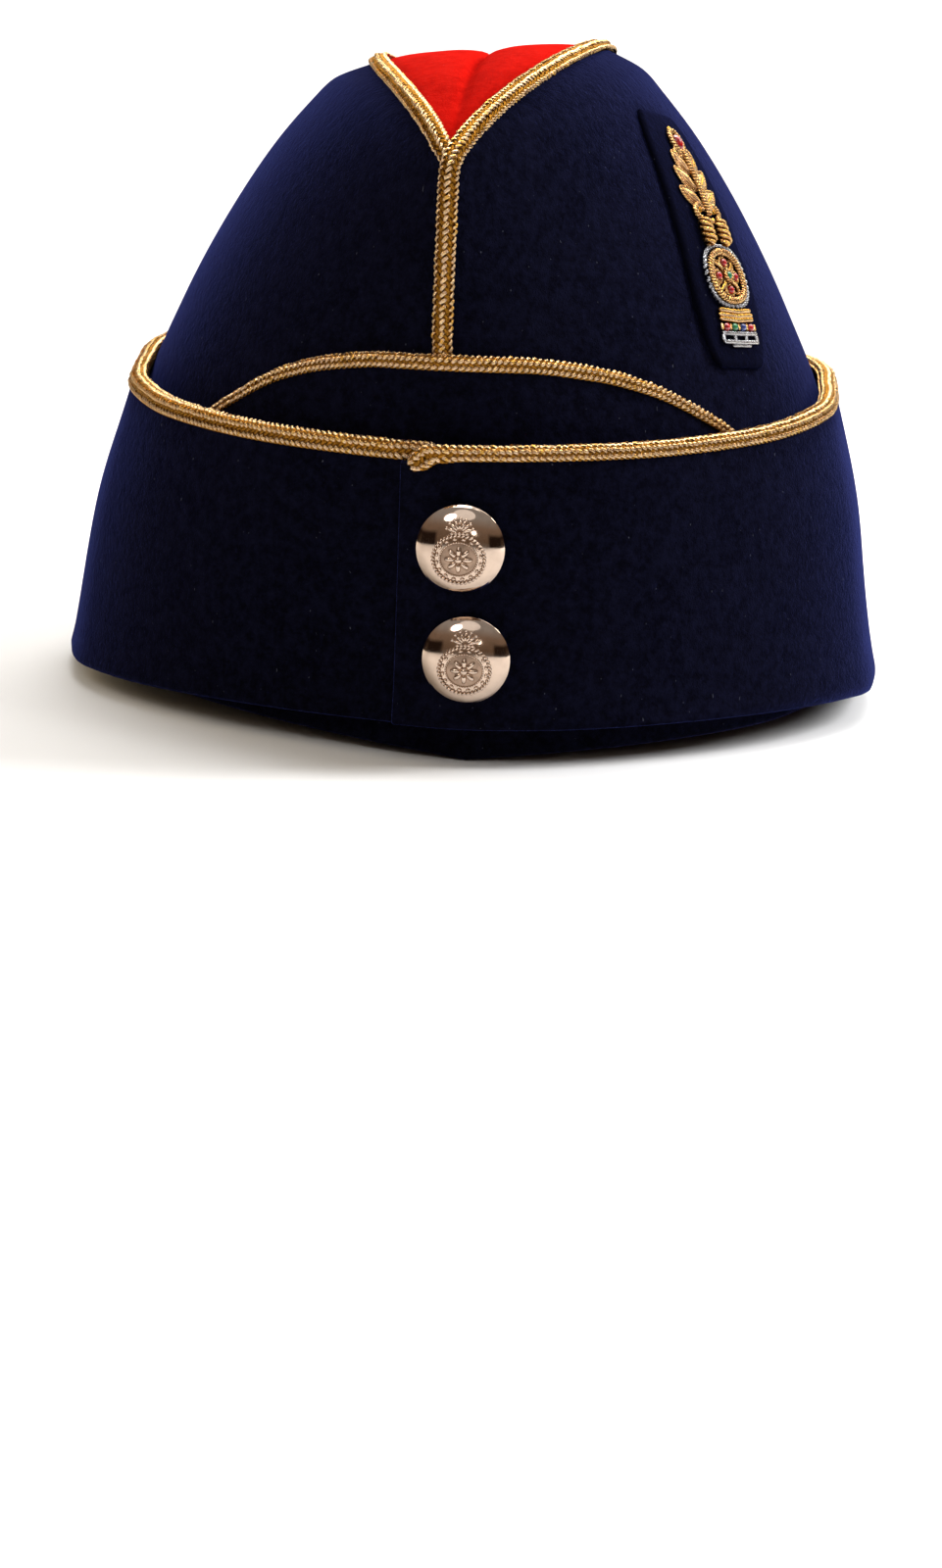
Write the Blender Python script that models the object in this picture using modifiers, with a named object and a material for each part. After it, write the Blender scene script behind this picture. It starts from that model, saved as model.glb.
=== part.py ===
"""Officer's side cap: two wool side panels under a creased felt top, with a folded peak, a curtain turned up
all round and lapped at the front under two domed buttons, gilt braid on every edge and an embroidered badge.

Metres. +X is the wearer's left, -Y the front and +Z up. The origin lies on the surface that the cap rests on,
under the middle of its box.
"""

import bisect
import math

import bmesh
import bpy
import numpy as np

# Cloth and clearances
GAP = 0.0003
CROWN_CLOTH = 0.0016
PEAK_CLOTH = 0.0016
CURTAIN_CLOTH = 0.0022
PATCH_FELT = 0.0010

# Crown, measured on its outer face
RIM_HALF_WIDTH = 0.0902
RIDGE_HALF_WIDTH = 0.0256
RIM_FRONT_REACH = 0.0977
RIDGE_FRONT_REACH = 0.0952
RIM_REAR_REACH = 0.1062
RIDGE_REAR_REACH = 0.1010
FRONT_HEIGHT = 0.1188
APEX_HEIGHT = 0.1452
REAR_HEIGHT = 0.1010
LEFT_RIDGE_LIFT = 0.0024
FRONT_ARCH = 1.45
REAR_ARCH = 1.30
FRONT_SHIFT = 0.0086
TOP_LEAN = 0.0012
RIM_TUCK = 0.0010

# The top's crease between the ridges, and the swell of the felt beside it
CREASE_DEPTH = 0.0016
TOP_SWELL = 0.0022

# Hem: how far the fold of the curtain lifts off the surface at the front
HEM_LIFT = 0.0072

# Curtain
CURTAIN_HEIGHT = 0.0790
CURTAIN_STAND_OFF = 0.0036
CURTAIN_FLARE_LEFT = 0.0045
CURTAIN_FLARE_RIGHT = 0.0062
FLARE_TOP_LEFT = 0.56
FLARE_FALL_RIGHT = 1.3
UNDER_END = math.radians(14.0)
LAP_END = math.radians(-10.1)
LAP_SLANT = math.radians(-3.4)
LAP_RAMP = math.radians(34.0)
TAB_DROP = 0.0080
TAB_CLEAR = math.radians(0.3)

# Peak
PEAK_HEIGHT = 0.0812
PEAK_SWING = math.radians(68.0)
PEAK_TURN = math.radians(1.7)
PEAK_OUT = 2 * GAP
PEAK_BLEND = (PEAK_SWING - 0.02, PEAK_SWING + 0.25)

# Braid
SEAM_BRAID_WIDTH = 0.0042
SEAM_BRAID_HEIGHT = 0.0013
SEAM_BRAID_OUT = 2.5 * GAP
RIDGE_TUCK = math.radians(19.0)
RIDGE_BLEND = math.radians(20.0)
BRAID_SHORT = math.radians(2.3)
EDGE_BRAID = 0.0010
CURTAIN_BRAID_OUTSIDE = 0.0030
CURTAIN_BRAID_INSIDE = 0.0030
PEAK_BRAID_OUTSIDE = 0.0022

# Buttons
BUTTON_RADIUS = 0.0090
BUTTON_DOME = 0.0042
BUTTON_EDGE = 0.0012
BUTTON_SEAT = 3 * GAP
UPPER_BUTTON = (0.0054, 0.0446)
LOWER_BUTTON = (0.0077, 0.0222)

# Badge on the wearer's left panel
BADGE_ANGLE = math.radians(63.5)
BADGE_RISE = 0.7255
BADGE_LENGTH = 0.0510
BADGE_TURN = math.radians(-6.0)
BADGE_RELIEF = 0.0022
BADGE_FALL = 0.55
PATCH_HALF_WIDTH = 0.0078
PATCH_MARGIN = 0.0042
PATCH_POWER = 4

# How finely the pieces are divided: steps along them, and shares of the way across or up them
PANEL_STEPS = 36
PANEL_RISES = (0.0, 0.14, 0.3, 0.45, 0.6, 0.73, 0.84, 0.93, 0.975, 1.0)
TOP_ENDS = 4
TOP_TIP = 0.35
TOP_SHARES = (-1.0, -0.75, -0.45, -0.2, 0.0, 0.2, 0.45, 0.75, 1.0)
PEAK_STEPS = 28
PEAK_SHARES = (0.0, 0.25, 0.55, 0.8, 1.0)
CURTAIN_STEPS = 60
CURTAIN_SHARES = (0.0, 0.14, 0.3, 0.5, 0.75, 0.92, 1.0)
RIDGE_STEPS = 28
RIDGE_CROWDING = 1.15
SEAM_STEPS = 10
SEAM_TOP = 0.985
BUTTON_STEPS = 32
BADGE_STEPS = 20
BADGE_SHARES = (-1.0, -0.6, 0.0, 0.6, 1.0)

# How far apart the points lie that a slope or a direction is taken from: in angle, in rise and across the top
ANGLE_STEP = 0.02
RISE_STEP = 0.02
SHARE_STEP = 0.05
SWING_STEP = 0.03
CROWN_STEP = 0.05
BADGE_STEP = 0.01
SEAM_BESIDE = 0.14
TOP_BESIDE = 0.9

# Colours, roughness and metallic value of each material
MATERIALS = {
    "navy_wool": ((0.006, 0.008, 0.036), 0.95, 0.0),
    "scarlet_felt": ((0.60, 0.010, 0.008), 0.95, 0.0),
    "gilt_braid": ((0.78, 0.50, 0.13), 0.35, 1.0),
    "silvered_metal": ((0.80, 0.74, 0.72), 0.12, 1.0),
    "black_felt": ((0.008, 0.009, 0.015), 0.97, 0.0),
    "bullion": ((0.80, 0.52, 0.12), 0.40, 1.0),
}


class Table:
    """A short table with named columns, read between its rows on smooth curves that don't overshoot them."""

    def __init__(self, columns, rows):
        self.places = [row[0] for row in rows]
        self.values = {name: [row[i] for row in rows] for i, name in enumerate(columns)}
        self.tangents = {name: self.slopes(values) for name, values in self.values.items()}

    def slopes(self, values):
        gaps = [high - low for low, high in zip(self.places, self.places[1:])]
        steps = [(high - low) / gap for low, high, gap in zip(values, values[1:], gaps)]
        inner = [0.0 if a * b <= 0 else 2 * a * b / (a + b) for a, b in zip(steps, steps[1:])]
        return [steps[0], *inner, steps[-1]]

    def read(self, column, place):
        values, tangents = self.values[column], self.tangents[column]
        place = min(max(place, self.places[0]), self.places[-1])
        i = min(max(bisect.bisect_left(self.places, place) - 1, 0), len(self.places) - 2)
        width = self.places[i + 1] - self.places[i]
        s = (place - self.places[i]) / width
        return (
            values[i] * (1 + 2 * s) * (1 - s) ** 2
            + values[i + 1] * s * s * (3 - 2 * s)
            + width * (tangents[i] * s * (1 - s) ** 2 - tangents[i + 1] * s * s * (1 - s))
        )


# Crown sections from the rim to the ridge. narrowing, front_lean and rear_lean are shares of the way from the
# rim's size to the ridge's, the points say how sharply the section closes on the seam, shift is of FRONT_SHIFT
# and top_lean of TOP_LEAN.
SECTIONS = Table(
    ("rise", "narrowing", "front_lean", "rear_lean", "front_point", "rear_point", "shift", "top_lean"),
    (
        (0.00, 0.000, 0.00, 0.00, 1.35, 1.22, 1.00, 0.00),
        (0.22, 0.045, 0.20, 0.02, 1.36, 1.24, 0.72, 0.00),
        (0.45, 0.155, 0.50, 0.08, 1.40, 1.28, 0.36, 0.10),
        (0.61, 0.306, 0.75, 0.22, 1.46, 1.34, 0.12, 0.30),
        (0.74, 0.460, 0.90, 0.42, 1.56, 1.44, 0.00, 0.50),
        (0.86, 0.634, 1.00, 0.66, 1.68, 1.58, 0.00, 0.85),
        (0.94, 0.783, 1.02, 0.85, 1.78, 1.72, 0.00, 1.00),
        (0.97, 0.850, 1.02, 0.92, 1.95, 1.84, 0.00, 1.00),
        (1.00, 1.000, 1.00, 1.00, 2.15, 1.95, 0.00, 0.35),
    ),
)

# Heights of the turned-up edges by angle from the front, each side's own where the two differ. The folds are
# shares of HEM_LIFT, top is a share of CURTAIN_HEIGHT and the stand-offs are shares of CURTAIN_STAND_OFF.
HEM = Table(
    ("angle", "fold_left", "fold_right", "peak_fold", "top", "stand_off_left", "stand_off_right"),
    (
        (0, 1.00, 1.00, 0.00, 0.806, 0.40, 0.40),
        (16, 1.02, 0.95, 0.20, 0.809, 0.42, 0.42),
        (34, 1.04, 0.84, 0.40, 0.818, 0.74, 0.74),
        (52, 1.00, 0.66, 0.60, 0.842, 0.76, 0.72),
        (66, 0.90, 0.54, 0.90, 0.882, 0.72, 0.50),
        (80, 0.62, 0.44, 0.90, 0.938, 0.68, 0.40),
        (96, 0.30, 0.24, 0.90, 0.975, 0.68, 0.40),
        (116, 0.00, 0.00, 0.90, 0.985, 0.66, 0.40),
        (180, 0.00, 0.00, 0.90, 0.955, 0.45, 0.45),
    ),
)

# Top edge of the peak: share of its swing to one side, and of the height of its middle
PEAK = Table(
    ("swing", "height"),
    (
        (0.00, 1.000),
        (0.28, 0.997),
        (0.44, 0.978),
        (0.56, 0.940),
        (0.68, 0.860),
        (0.80, 0.745),
        (0.92, 0.560),
        (1.00, 0.380),
    ),
)

# Outline of the badge along its length: place as a share of BADGE_LENGTH from its middle, half width as one
BADGE = Table(
    ("place", "half_width"),
    (
        (-0.50, 0.075),
        (-0.46, 0.125),
        (-0.36, 0.130),
        (-0.22, 0.150),
        (-0.08, 0.160),
        (0.04, 0.100),
        (0.16, 0.150),
        (0.30, 0.145),
        (0.42, 0.100),
        (0.50, 0.035),
    ),
)

# Section of the braid on the ridges and seams: shares of its half width and of its height
BRAID_SECTION = ((-1.0, 0.35), (-0.65, 0.88), (0.0, 1.0), (0.65, 0.88), (1.0, 0.35))

# Braid folded over the peak's edge, outer and inner face: down from the edge in shares of PEAK_BRAID_OUTSIDE, GAP
# and EDGE_BRAID, and out in shares of the braid's face, of EDGE_BRAID and of PEAK_CLOTH
PEAK_BRAID_SECTION = (
    ((1.0, 0, 0), (1, 0.5, 0), (1.0, 0, 0), (1, 0, 0)),
    ((0.5, 0, 0), (1, 1.0, 0), (0.5, 0, 0), (1, 0, 0)),
    ((0, -1, 0), (1, 0.8, 0), (0, -1, 0), (1, 0, 0)),
    ((0, -1, -1), (0, 0, 0.7), (0, -1, 0), (0, 0, 0.7)),
    ((0, -1, -1), (0, 0, 0), (0, -1, 0), (0, 0, 0)),
)

# Section of the braid folded over the curtain's edge: how far down each leg, and how much it thins towards its ends
CURTAIN_BRAID_TAPER = ((1.0, 0.5), (0.5, 0.0), (0.0, 0.2))

# Half section of a button above its rolled edge: shares of its radius and of its dome
BUTTON_SECTION = ((0.0, 1.0), (0.3, 0.975), (0.52, 0.9), (0.58, 0.95), (0.66, 0.86), (0.8, 0.68), (0.93, 0.44))

# Its rolled edge and back: shares of its radius and of BUTTON_EDGE
BUTTON_ROLL = ((1.0, 1.0), (1.0, 0.4), (0.94, 0.0), (0.0, 0.0))


def hem(column, angle):
    return HEM.read(column, abs(math.degrees(turned(angle))))


def sided(column, angle):
    """The name of the column for the side that this angle is on."""
    return column + ("_left" if turned(angle) > 0 else "_right")


def turned(angle):
    """The same direction as an angle between half a turn back and half a turn on."""
    return (angle + math.pi) % (2 * math.pi) - math.pi


def between(low, high, share):
    return low + (high - low) * share


def ramp(low, high, at):
    s = min(max((at - low) / (high - low), 0.0), 1.0)
    return s * s * (3 - 2 * s)


def unit(vector):
    return vector / np.linalg.norm(vector)


def rim_height(angle):
    """The lower edge of the side panels, tucked up inside the folds of the peak and the curtain."""
    return min(curtain_fold(angle), peak_fold(angle)) + RIM_TUCK


def ridge_height(angle):
    sine, cosine = max(math.sin(abs(angle)), 0.0), math.cos(angle)
    end, power = (FRONT_HEIGHT, FRONT_ARCH) if cosine > 0 else (REAR_HEIGHT, REAR_ARCH)
    lift = LEFT_RIDGE_LIFT if angle > 0 else -LEFT_RIDGE_LIFT
    return between(end, APEX_HEIGHT, sine**power) + lift * sine * sine


def crown_lean(angle, rise):
    """How far the crown leans across: its front to the wearer's left and its top to the wearer's right."""
    front = FRONT_SHIFT * SECTIONS.read("shift", rise) * ((1 + math.cos(angle)) / 2) ** 3
    return front - TOP_LEAN * SECTIONS.read("top_lean", rise) * math.sin(angle) ** 2


def crown_point(angle, rise):
    """A point of the crown's outer face, by the angle from the front and the share of the rise to the ridge."""
    sine, cosine = math.sin(abs(angle)), math.cos(angle)
    if cosine > 0:
        reach = between(RIM_FRONT_REACH, RIDGE_FRONT_REACH, SECTIONS.read("front_lean", rise))
        point = SECTIONS.read("front_point", rise)
    else:
        reach = between(RIM_REAR_REACH, RIDGE_REAR_REACH, SECTIONS.read("rear_lean", rise))
        point = SECTIONS.read("rear_point", rise)
    half_width = between(RIM_HALF_WIDTH, RIDGE_HALF_WIDTH, SECTIONS.read("narrowing", rise))
    foot = rim_height(angle)
    return np.array(
        (
            math.copysign(half_width * max(sine, 0.0) ** point, angle) + crown_lean(angle, rise),
            -reach * cosine,
            between(foot, ridge_height(angle), rise),
        )
    )


def crown_normal(angle, rise, reach=CROWN_STEP):
    """The outward direction of the crown's outer face."""
    low, high = max(rise - RISE_STEP, 0.0), min(rise + RISE_STEP, 1.0)
    round_it = crown_point(turned(angle + reach), rise) - crown_point(turned(angle - reach), rise)
    up_it = crown_point(angle, high) - crown_point(angle, low)
    return unit(np.cross(round_it, up_it))


def panel_normal(side, swing, rise):
    """The same on one side panel alone, which doesn't look across the seams."""
    low, high = max(swing - SWING_STEP, 0.0), min(swing + SWING_STEP, math.pi)
    around = crown_point(side * high, rise) - crown_point(side * low, rise)
    foot, head = max(rise - RISE_STEP, 0.0), min(rise + RISE_STEP, 1.0)
    up_it = crown_point(side * swing, head) - crown_point(side * swing, foot)
    return side * unit(np.cross(around, up_it))


def rise_at(angle, height):
    foot = rim_height(angle)
    return (height - foot) / (ridge_height(angle) - foot)


def layer_point(angle, height, out):
    """A point at this height, out from the crown's outer face: the peak and the curtain lie there in layers."""
    angle = turned(angle)
    rise = rise_at(angle, height)
    place = crown_point(angle, min(max(rise, 0.0), 1.0))
    normal = crown_normal(angle, min(max(rise, RISE_STEP), 1 - RISE_STEP))
    level = np.array((normal[0], normal[1], 0.0))
    place = place + level * out / (level @ level)
    place[2] = height
    return place


def edge_point(angle, edge, down, out):
    """A point a distance down from a turned-up edge, square to it, and out from the crown."""
    ahead, behind = angle + ANGLE_STEP, angle - ANGLE_STEP
    arc = np.linalg.norm((layer_point(ahead, edge(angle), 0) - layer_point(behind, edge(angle), 0))[:2])
    slope = math.atan2(edge(ahead) - edge(behind), arc)
    aside = down * math.sin(slope) * (ahead - behind) / arc
    return layer_point(angle + aside, edge(angle) - down * math.cos(slope), out)


def top_point(swing, share):
    """A point of the creased top, by the angle from the front and the share of the way to the left ridge."""
    left, right = crown_point(swing, 1.0), crown_point(-swing, 1.0)
    place = between(right, left, (share + 1) / 2)
    open_up = math.sin(swing) ** 2
    beside = abs(share)
    place[2] += open_up * (4 * TOP_SWELL * beside * (1 - beside) - CREASE_DEPTH * (1 - beside) ** 2)
    return place


def top_normal(swing, share):
    low, high = max(share - SHARE_STEP, -1.0), min(share + SHARE_STEP, 1.0)
    along = top_point(min(swing + SWING_STEP, math.pi), share) - top_point(max(swing - SWING_STEP, 0.0), share)
    across = top_point(swing, high) - top_point(swing, low)
    return unit(np.cross(across, along))


def material(name):
    """A Principled material from the table, made once."""
    found = bpy.data.materials.get(name)
    if found:
        return found
    colour, roughness, metallic = MATERIALS[name]
    made = bpy.data.materials.new(name)
    made.use_nodes = True
    shader = made.node_tree.nodes["Principled BSDF"]
    shader.inputs["Base Color"].default_value = (*colour, 1.0)
    shader.inputs["Roughness"].default_value = roughness
    shader.inputs["Metallic"].default_value = metallic
    made.diffuse_color = (*colour, 1.0)
    return made


def add_object(name, mesh, slot, collection, smooth_under=40.0):
    """Puts a mesh in the scene as one named sub-part, smooth except at its real edges."""
    mesh.materials.append(material(slot))
    obj = bpy.data.objects.new(name, mesh)
    collection.objects.link(obj)
    mesh.shade_smooth()
    mesh.set_sharp_from_angle(angle=math.radians(smooth_under))
    return obj


def add_shell(name, outer, inner, slot, collection):
    """A closed wall between two grids of points, each a list of stations across it: a loft between sections."""
    outer, inner = np.asarray(outer), np.asarray(inner)
    stations, rows = outer.shape[:2]
    points = [tuple(p) for p in outer.reshape(-1, 3)] + [tuple(p) for p in inner.reshape(-1, 3)]

    def at(layer, station, row):
        return layer * stations * rows + station * rows + row

    faces = []
    for s in range(stations - 1):
        for layer in (0, 1):
            for r in range(rows - 1):
                low, high = at(layer, s, r), at(layer, s + 1, r)
                faces.append((low, high, high + 1, low + 1))
        for r in (0, rows - 1):
            faces.append((at(0, s, r), at(1, s, r), at(1, s + 1, r), at(0, s + 1, r)))
    for s in (0, stations - 1):
        for r in range(rows - 1):
            faces.append((at(0, s, r), at(0, s, r + 1), at(1, s, r + 1), at(1, s, r)))
    mesh = bpy.data.meshes.new(name)
    mesh.from_pydata(points, [], faces)
    wall = bmesh.new()
    wall.from_mesh(mesh)
    bmesh.ops.recalc_face_normals(wall, faces=wall.faces)
    wall.to_mesh(mesh)
    wall.free()
    return add_object(name, mesh, slot, collection)


def mitre(first, second, thickness):
    """From a corner's outer edge to its inner one, where two walls of this thickness meet."""
    return -(first + second) / (1 + first @ second) * thickness


def panel_swings():
    """The stations of the side panels, which the top shares along the ridges."""
    return [math.pi * (i / PANEL_STEPS) for i in range(PANEL_STEPS + 1)]


def make_side_panel(side, collection):
    """One side panel, from the rim to its ridge and from the front seam to the rear one."""
    swings = panel_swings()
    half_gap = np.array((side * GAP / 2, 0.0, 0.0))
    outer, inner = [], []
    for swing in swings:
        seam = swing in (swings[0], swings[-1])
        outside, inside = [], []
        for rise in PANEL_RISES:
            place = crown_point(side * swing, rise)
            normal = panel_normal(side, swing, rise)
            if seam:
                place = place + half_gap
                inward = mitre(normal, normal * (-1, 1, 1), CROWN_CLOTH)
            elif rise == 1.0:
                inward = mitre(normal, top_normal(swing, side), CROWN_CLOTH)
                place = place + unit(crown_point(side * swing, PANEL_RISES[-2]) - place) * GAP / 2
            else:
                inward = -normal * CROWN_CLOTH
            within = place + inward
            lean = crown_lean(side * swing, rise)
            clear = side * max(side * (within[0] - lean), GAP / 2) + lean
            outside.append(place)
            inside.append((clear, within[1], within[2]))
        outside[0][2] = rim_height(swing)
        inside[0] = (inside[0][0], inside[0][1], rim_height(swing))
        outer.append(outside)
        inner.append(inside)
    name = "side_left" if side > 0 else "side_right"
    return add_shell(name, outer, inner, "navy_wool", collection)


def make_crown_top(collection):
    """The felt top between the ridges, creased along its middle."""
    swings = panel_swings()[TOP_ENDS:-TOP_ENDS]
    tips = (swings[0], swings[-1])
    outer, inner = [], []
    for swing in swings:
        outside, inside = [], []
        for share in TOP_SHARES:
            if swing in tips:
                share *= TOP_TIP
            place = top_point(swing, share)
            normal = top_normal(swing, share)
            inward = -normal * CROWN_CLOTH
            if abs(share) == 1.0:
                side = math.copysign(1.0, share)
                inward = mitre(normal, panel_normal(side, swing, 1.0), CROWN_CLOTH)
                towards = unit(top_point(swing, share * TOP_BESIDE) - place)
                place = place + towards * GAP
                inward = inward + towards * GAP
            outside.append(place)
            inside.append(place + inward)
        outer.append(outside)
        inner.append(inside)
    return add_shell("crown_top", outer, inner, "scarlet_felt", collection)


def peak_top(angle):
    share = min(abs(angle - PEAK_TURN) / PEAK_SWING, 1.0)
    return PEAK_HEIGHT * PEAK.read("height", share)


def peak_fold(angle):
    return HEM_LIFT * hem("peak_fold", angle)


def peak_swings():
    return [between(-PEAK_SWING, PEAK_SWING, i / PEAK_STEPS) + PEAK_TURN for i in range(PEAK_STEPS + 1)]


def make_peak(collection):
    """The peak, folded up against the front of the crown."""
    outer, inner = [], []
    for swing in peak_swings():
        heights = [between(peak_fold(swing), peak_top(swing), share) for share in PEAK_SHARES]
        outer.append([layer_point(swing, height, PEAK_OUT + PEAK_CLOTH) for height in heights])
        inner.append([layer_point(swing, height, PEAK_OUT) for height in heights])
    return add_shell("peak", outer, inner, "navy_wool", collection)


def make_peak_braid(collection):
    """Gilt braid over the peak's top edge, close to the crown behind it."""
    downs = np.array((PEAK_BRAID_OUTSIDE, GAP, EDGE_BRAID))
    outs = np.array((PEAK_CLOTH + GAP, EDGE_BRAID, PEAK_CLOTH))
    outside = [(row[0] @ downs, PEAK_OUT + row[1] @ outs) for row in PEAK_BRAID_SECTION]
    inside = [(row[2] @ downs, PEAK_OUT + row[3] @ outs) for row in PEAK_BRAID_SECTION]
    outer = [[edge_point(swing, peak_top, down, out) for down, out in outside] for swing in peak_swings()]
    inner = [[edge_point(swing, peak_top, down, out) for down, out in inside] for swing in peak_swings()]
    return add_shell("peak_braid", outer, inner, "gilt_braid", collection)


def curtain_fold(angle):
    return HEM_LIFT * hem(sided("fold", angle), angle)


def curtain_top(angle):
    return CURTAIN_HEIGHT * hem("top", angle)


def curtain_out(turn, share):
    """How far the curtain's inner face stands out from the crown, along its wrap and up its height."""
    angle = turned(turn)
    beside_peak = ramp(*PEAK_BLEND, abs(angle - PEAK_TURN))
    lap_start = UNDER_END - 2 * math.pi
    lapped = 1 - ramp(lap_start, lap_start + LAP_RAMP, turn) if turn < lap_start + LAP_RAMP else 0.0
    if angle > 0:
        flare = CURTAIN_FLARE_LEFT * max(0.0, 1 - share / FLARE_TOP_LEFT) ** 2
    else:
        flare = CURTAIN_FLARE_RIGHT * (1 - share) ** FLARE_FALL_RIGHT
    return (
        GAP
        + (PEAK_OUT + PEAK_CLOTH + GAP) * (1 - beside_peak)
        + (CURTAIN_CLOTH + GAP) * lapped
        + flare * math.sin(angle) ** 2
        + CURTAIN_STAND_OFF * hem(sided("stand_off", angle), angle) * share
    )


def curtain_turns():
    """Stations along the curtain's wrap, from its end under the lap, with a pair that step down to the tab."""
    step, last = LAP_END - 2 * TAB_CLEAR, LAP_END - 2 * math.pi
    tab = [UNDER_END, (UNDER_END + LAP_END) / 2, LAP_END - TAB_CLEAR]
    return tab + [between(step, last, i / CURTAIN_STEPS) for i in range(CURTAIN_STEPS + 1)]


def make_curtain(collection):
    """The curtain: one band that wraps the cap once and laps over its own end, a low tab, at the front."""
    outer, inner = [], []
    for station in curtain_turns():
        tab = TAB_DROP if station > LAP_END - 2 * TAB_CLEAR else 0.0
        slant = LAP_SLANT * ramp(LAP_END - 2 * math.pi, UNDER_END - 2 * math.pi, 2 * LAP_END - 4 * math.pi - station)
        outside, inside = [], []
        for share in CURTAIN_SHARES:
            turn = station + slant * (1 - share)
            height = between(curtain_fold(turn), curtain_top(turn) - tab, share)
            out = curtain_out(turn, share)
            outside.append(layer_point(turn, height, out + CURTAIN_CLOTH))
            inside.append(layer_point(turn, height, out))
        outer.append(outside)
        inner.append(inside)
    return add_shell("curtain", outer, inner, "navy_wool", collection)


def make_curtain_braid(collection):
    """Gilt braid folded over the curtain's top edge, from the tab all round to just short of the lapping end."""
    middle = CURTAIN_CLOTH / 2
    last = LAP_END - 2 * math.pi + BRAID_SHORT
    turns = [turn for turn in curtain_turns() if last < turn < LAP_END - TAB_CLEAR] + [last]
    outer, inner = [], []
    for turn in turns:
        height = curtain_top(turn) - curtain_fold(turn)

        def place(down, off):
            """off is measured from the curtain's middle, and is negative on the crown's side."""
            near = curtain_out(turn, min(1 - down / height, 1.0))
            return edge_point(turn, curtain_top, down, near + middle + off)

        def leg(length, clear, thickness):
            off = middle + clear
            return [(down * length or -GAP, off - thin * thickness) for down, thin in CURTAIN_BRAID_TAPER]

        def section(clear, thickness):
            outside = [place(down, off) for down, off in leg(CURTAIN_BRAID_OUTSIDE, clear, thickness)]
            inside = [place(down, -off) for down, off in leg(CURTAIN_BRAID_INSIDE, clear, thickness)]
            return [*outside, place(-clear, 0.0), inside[2], inside[0]]

        outer.append(section(GAP + EDGE_BRAID, EDGE_BRAID))
        inner.append(section(GAP, 0.0))
    return add_shell("curtain_braid", outer, inner, "gilt_braid", collection)


def braid_station(place, along, first, second):
    """A raised strip's section over a seam: its top and its underside, over two faces with these normals."""
    up = unit(first + second)
    across = unit(np.cross(along, up))
    top, under = [], []
    for share, lift in BRAID_SECTION:
        face = first if share > 0 else second
        off = share * SEAM_BRAID_WIDTH / 2
        fall = -off * (face @ across) / (face @ up)
        foot = place + across * off + up * (fall + SEAM_BRAID_OUT)
        under.append(foot)
        top.append(foot + up * SEAM_BRAID_HEIGHT * lift)
    return top, under


def make_ridge_braid(side, collection):
    """Gilt braid along one ridge and on down a seam: the left one's down the front, the right one's the rear."""
    shares = [(i / RIDGE_STEPS) ** RIDGE_CROWDING for i in range(1, RIDGE_STEPS + 1)]
    swings = [between(0.0, math.pi - RIDGE_TUCK, share) for share in shares]
    if side > 0:
        seam, stop = 0.0, peak_top(0.0)
    else:
        swings = [math.pi - swing for swing in swings]
        seam, stop = math.pi, curtain_top(math.pi)
    lowest = rise_at(seam, stop + EDGE_BRAID + 3 * GAP)
    places, firsts, seconds = [], [], []
    for i in range(SEAM_STEPS + 1):
        rise = between(lowest, SEAM_TOP, i / SEAM_STEPS)
        places.append(crown_point(seam, rise))
        normal = panel_normal(side, abs(seam - SEAM_BESIDE), rise)
        firsts.append(normal)
        seconds.append(normal * (-1, 1, 1))
    for swing in swings:
        places.append(crown_point(side * swing, 1.0))
        away = ramp(0.0, RIDGE_BLEND, swing if side > 0 else math.pi - swing)
        panel = panel_normal(side, swing, SEAM_TOP)
        firsts.append(panel)
        seconds.append(unit(between(panel * (-1, 1, 1), top_normal(swing, side * TOP_BESIDE), away)))
    alongs = np.gradient(np.array(places), axis=0)
    outer, inner = [], []
    for place, along, first, second in zip(places, alongs, firsts, seconds):
        if np.cross(along, first + second) @ (first - second) < 0:
            first, second = second, first
        top, under = braid_station(place, unit(along), first, second)
        outer.append(top)
        inner.append(under)
    name = "ridge_braid_left" if side > 0 else "ridge_braid_right"
    return add_shell(name, outer, inner, "gilt_braid", collection)


def turn_at(across, height):
    """Where along its wrap, near its lapping end, the curtain is this far across at this height."""
    low, high = LAP_END - 2 * math.pi, UNDER_END - 2 * math.pi
    for _ in range(30):
        middle = (low + high) / 2
        low, high = (middle, high) if layer_point(middle, height, 0)[0] < across else (low, middle)
    return low


def make_button(name, place, collection):
    """A domed button with a rolled edge and a raised ring, its back against the lapping end of the curtain."""
    across, height = place
    turn = turn_at(across, height)
    low, seat, high = [
        layer_point(turn, level, curtain_out(turn, level / curtain_top(turn)) + CURTAIN_CLOTH)
        for level in (height - BUTTON_RADIUS, height, height + BUTTON_RADIUS)
    ]
    upward = unit(high - low)
    axis = unit(np.array((0.0, -upward[2], upward[1])))
    section = [(share * BUTTON_RADIUS, dome * BUTTON_DOME) for share, dome in BUTTON_SECTION]
    section += [(share * BUTTON_RADIUS, edge * BUTTON_EDGE) for share, edge in BUTTON_ROLL]
    mesh = bpy.data.meshes.new(name)
    points = [(out, 0.0, up) for out, up in section]
    mesh.from_pydata(points, [(i, i + 1) for i in range(len(points) - 1)], [])
    button = add_object(name, mesh, "silvered_metal", collection, smooth_under=50.0)
    screw = button.modifiers.new("turned", "SCREW")
    screw.steps = screw.render_steps = BUTTON_STEPS
    screw.use_merge_vertices = True
    screw.merge_threshold = 0.00002
    button.location = seat + axis * BUTTON_SEAT
    button.rotation_euler = (math.atan2(-axis[1], axis[2]), 0.0, 0.0)
    return button


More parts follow.
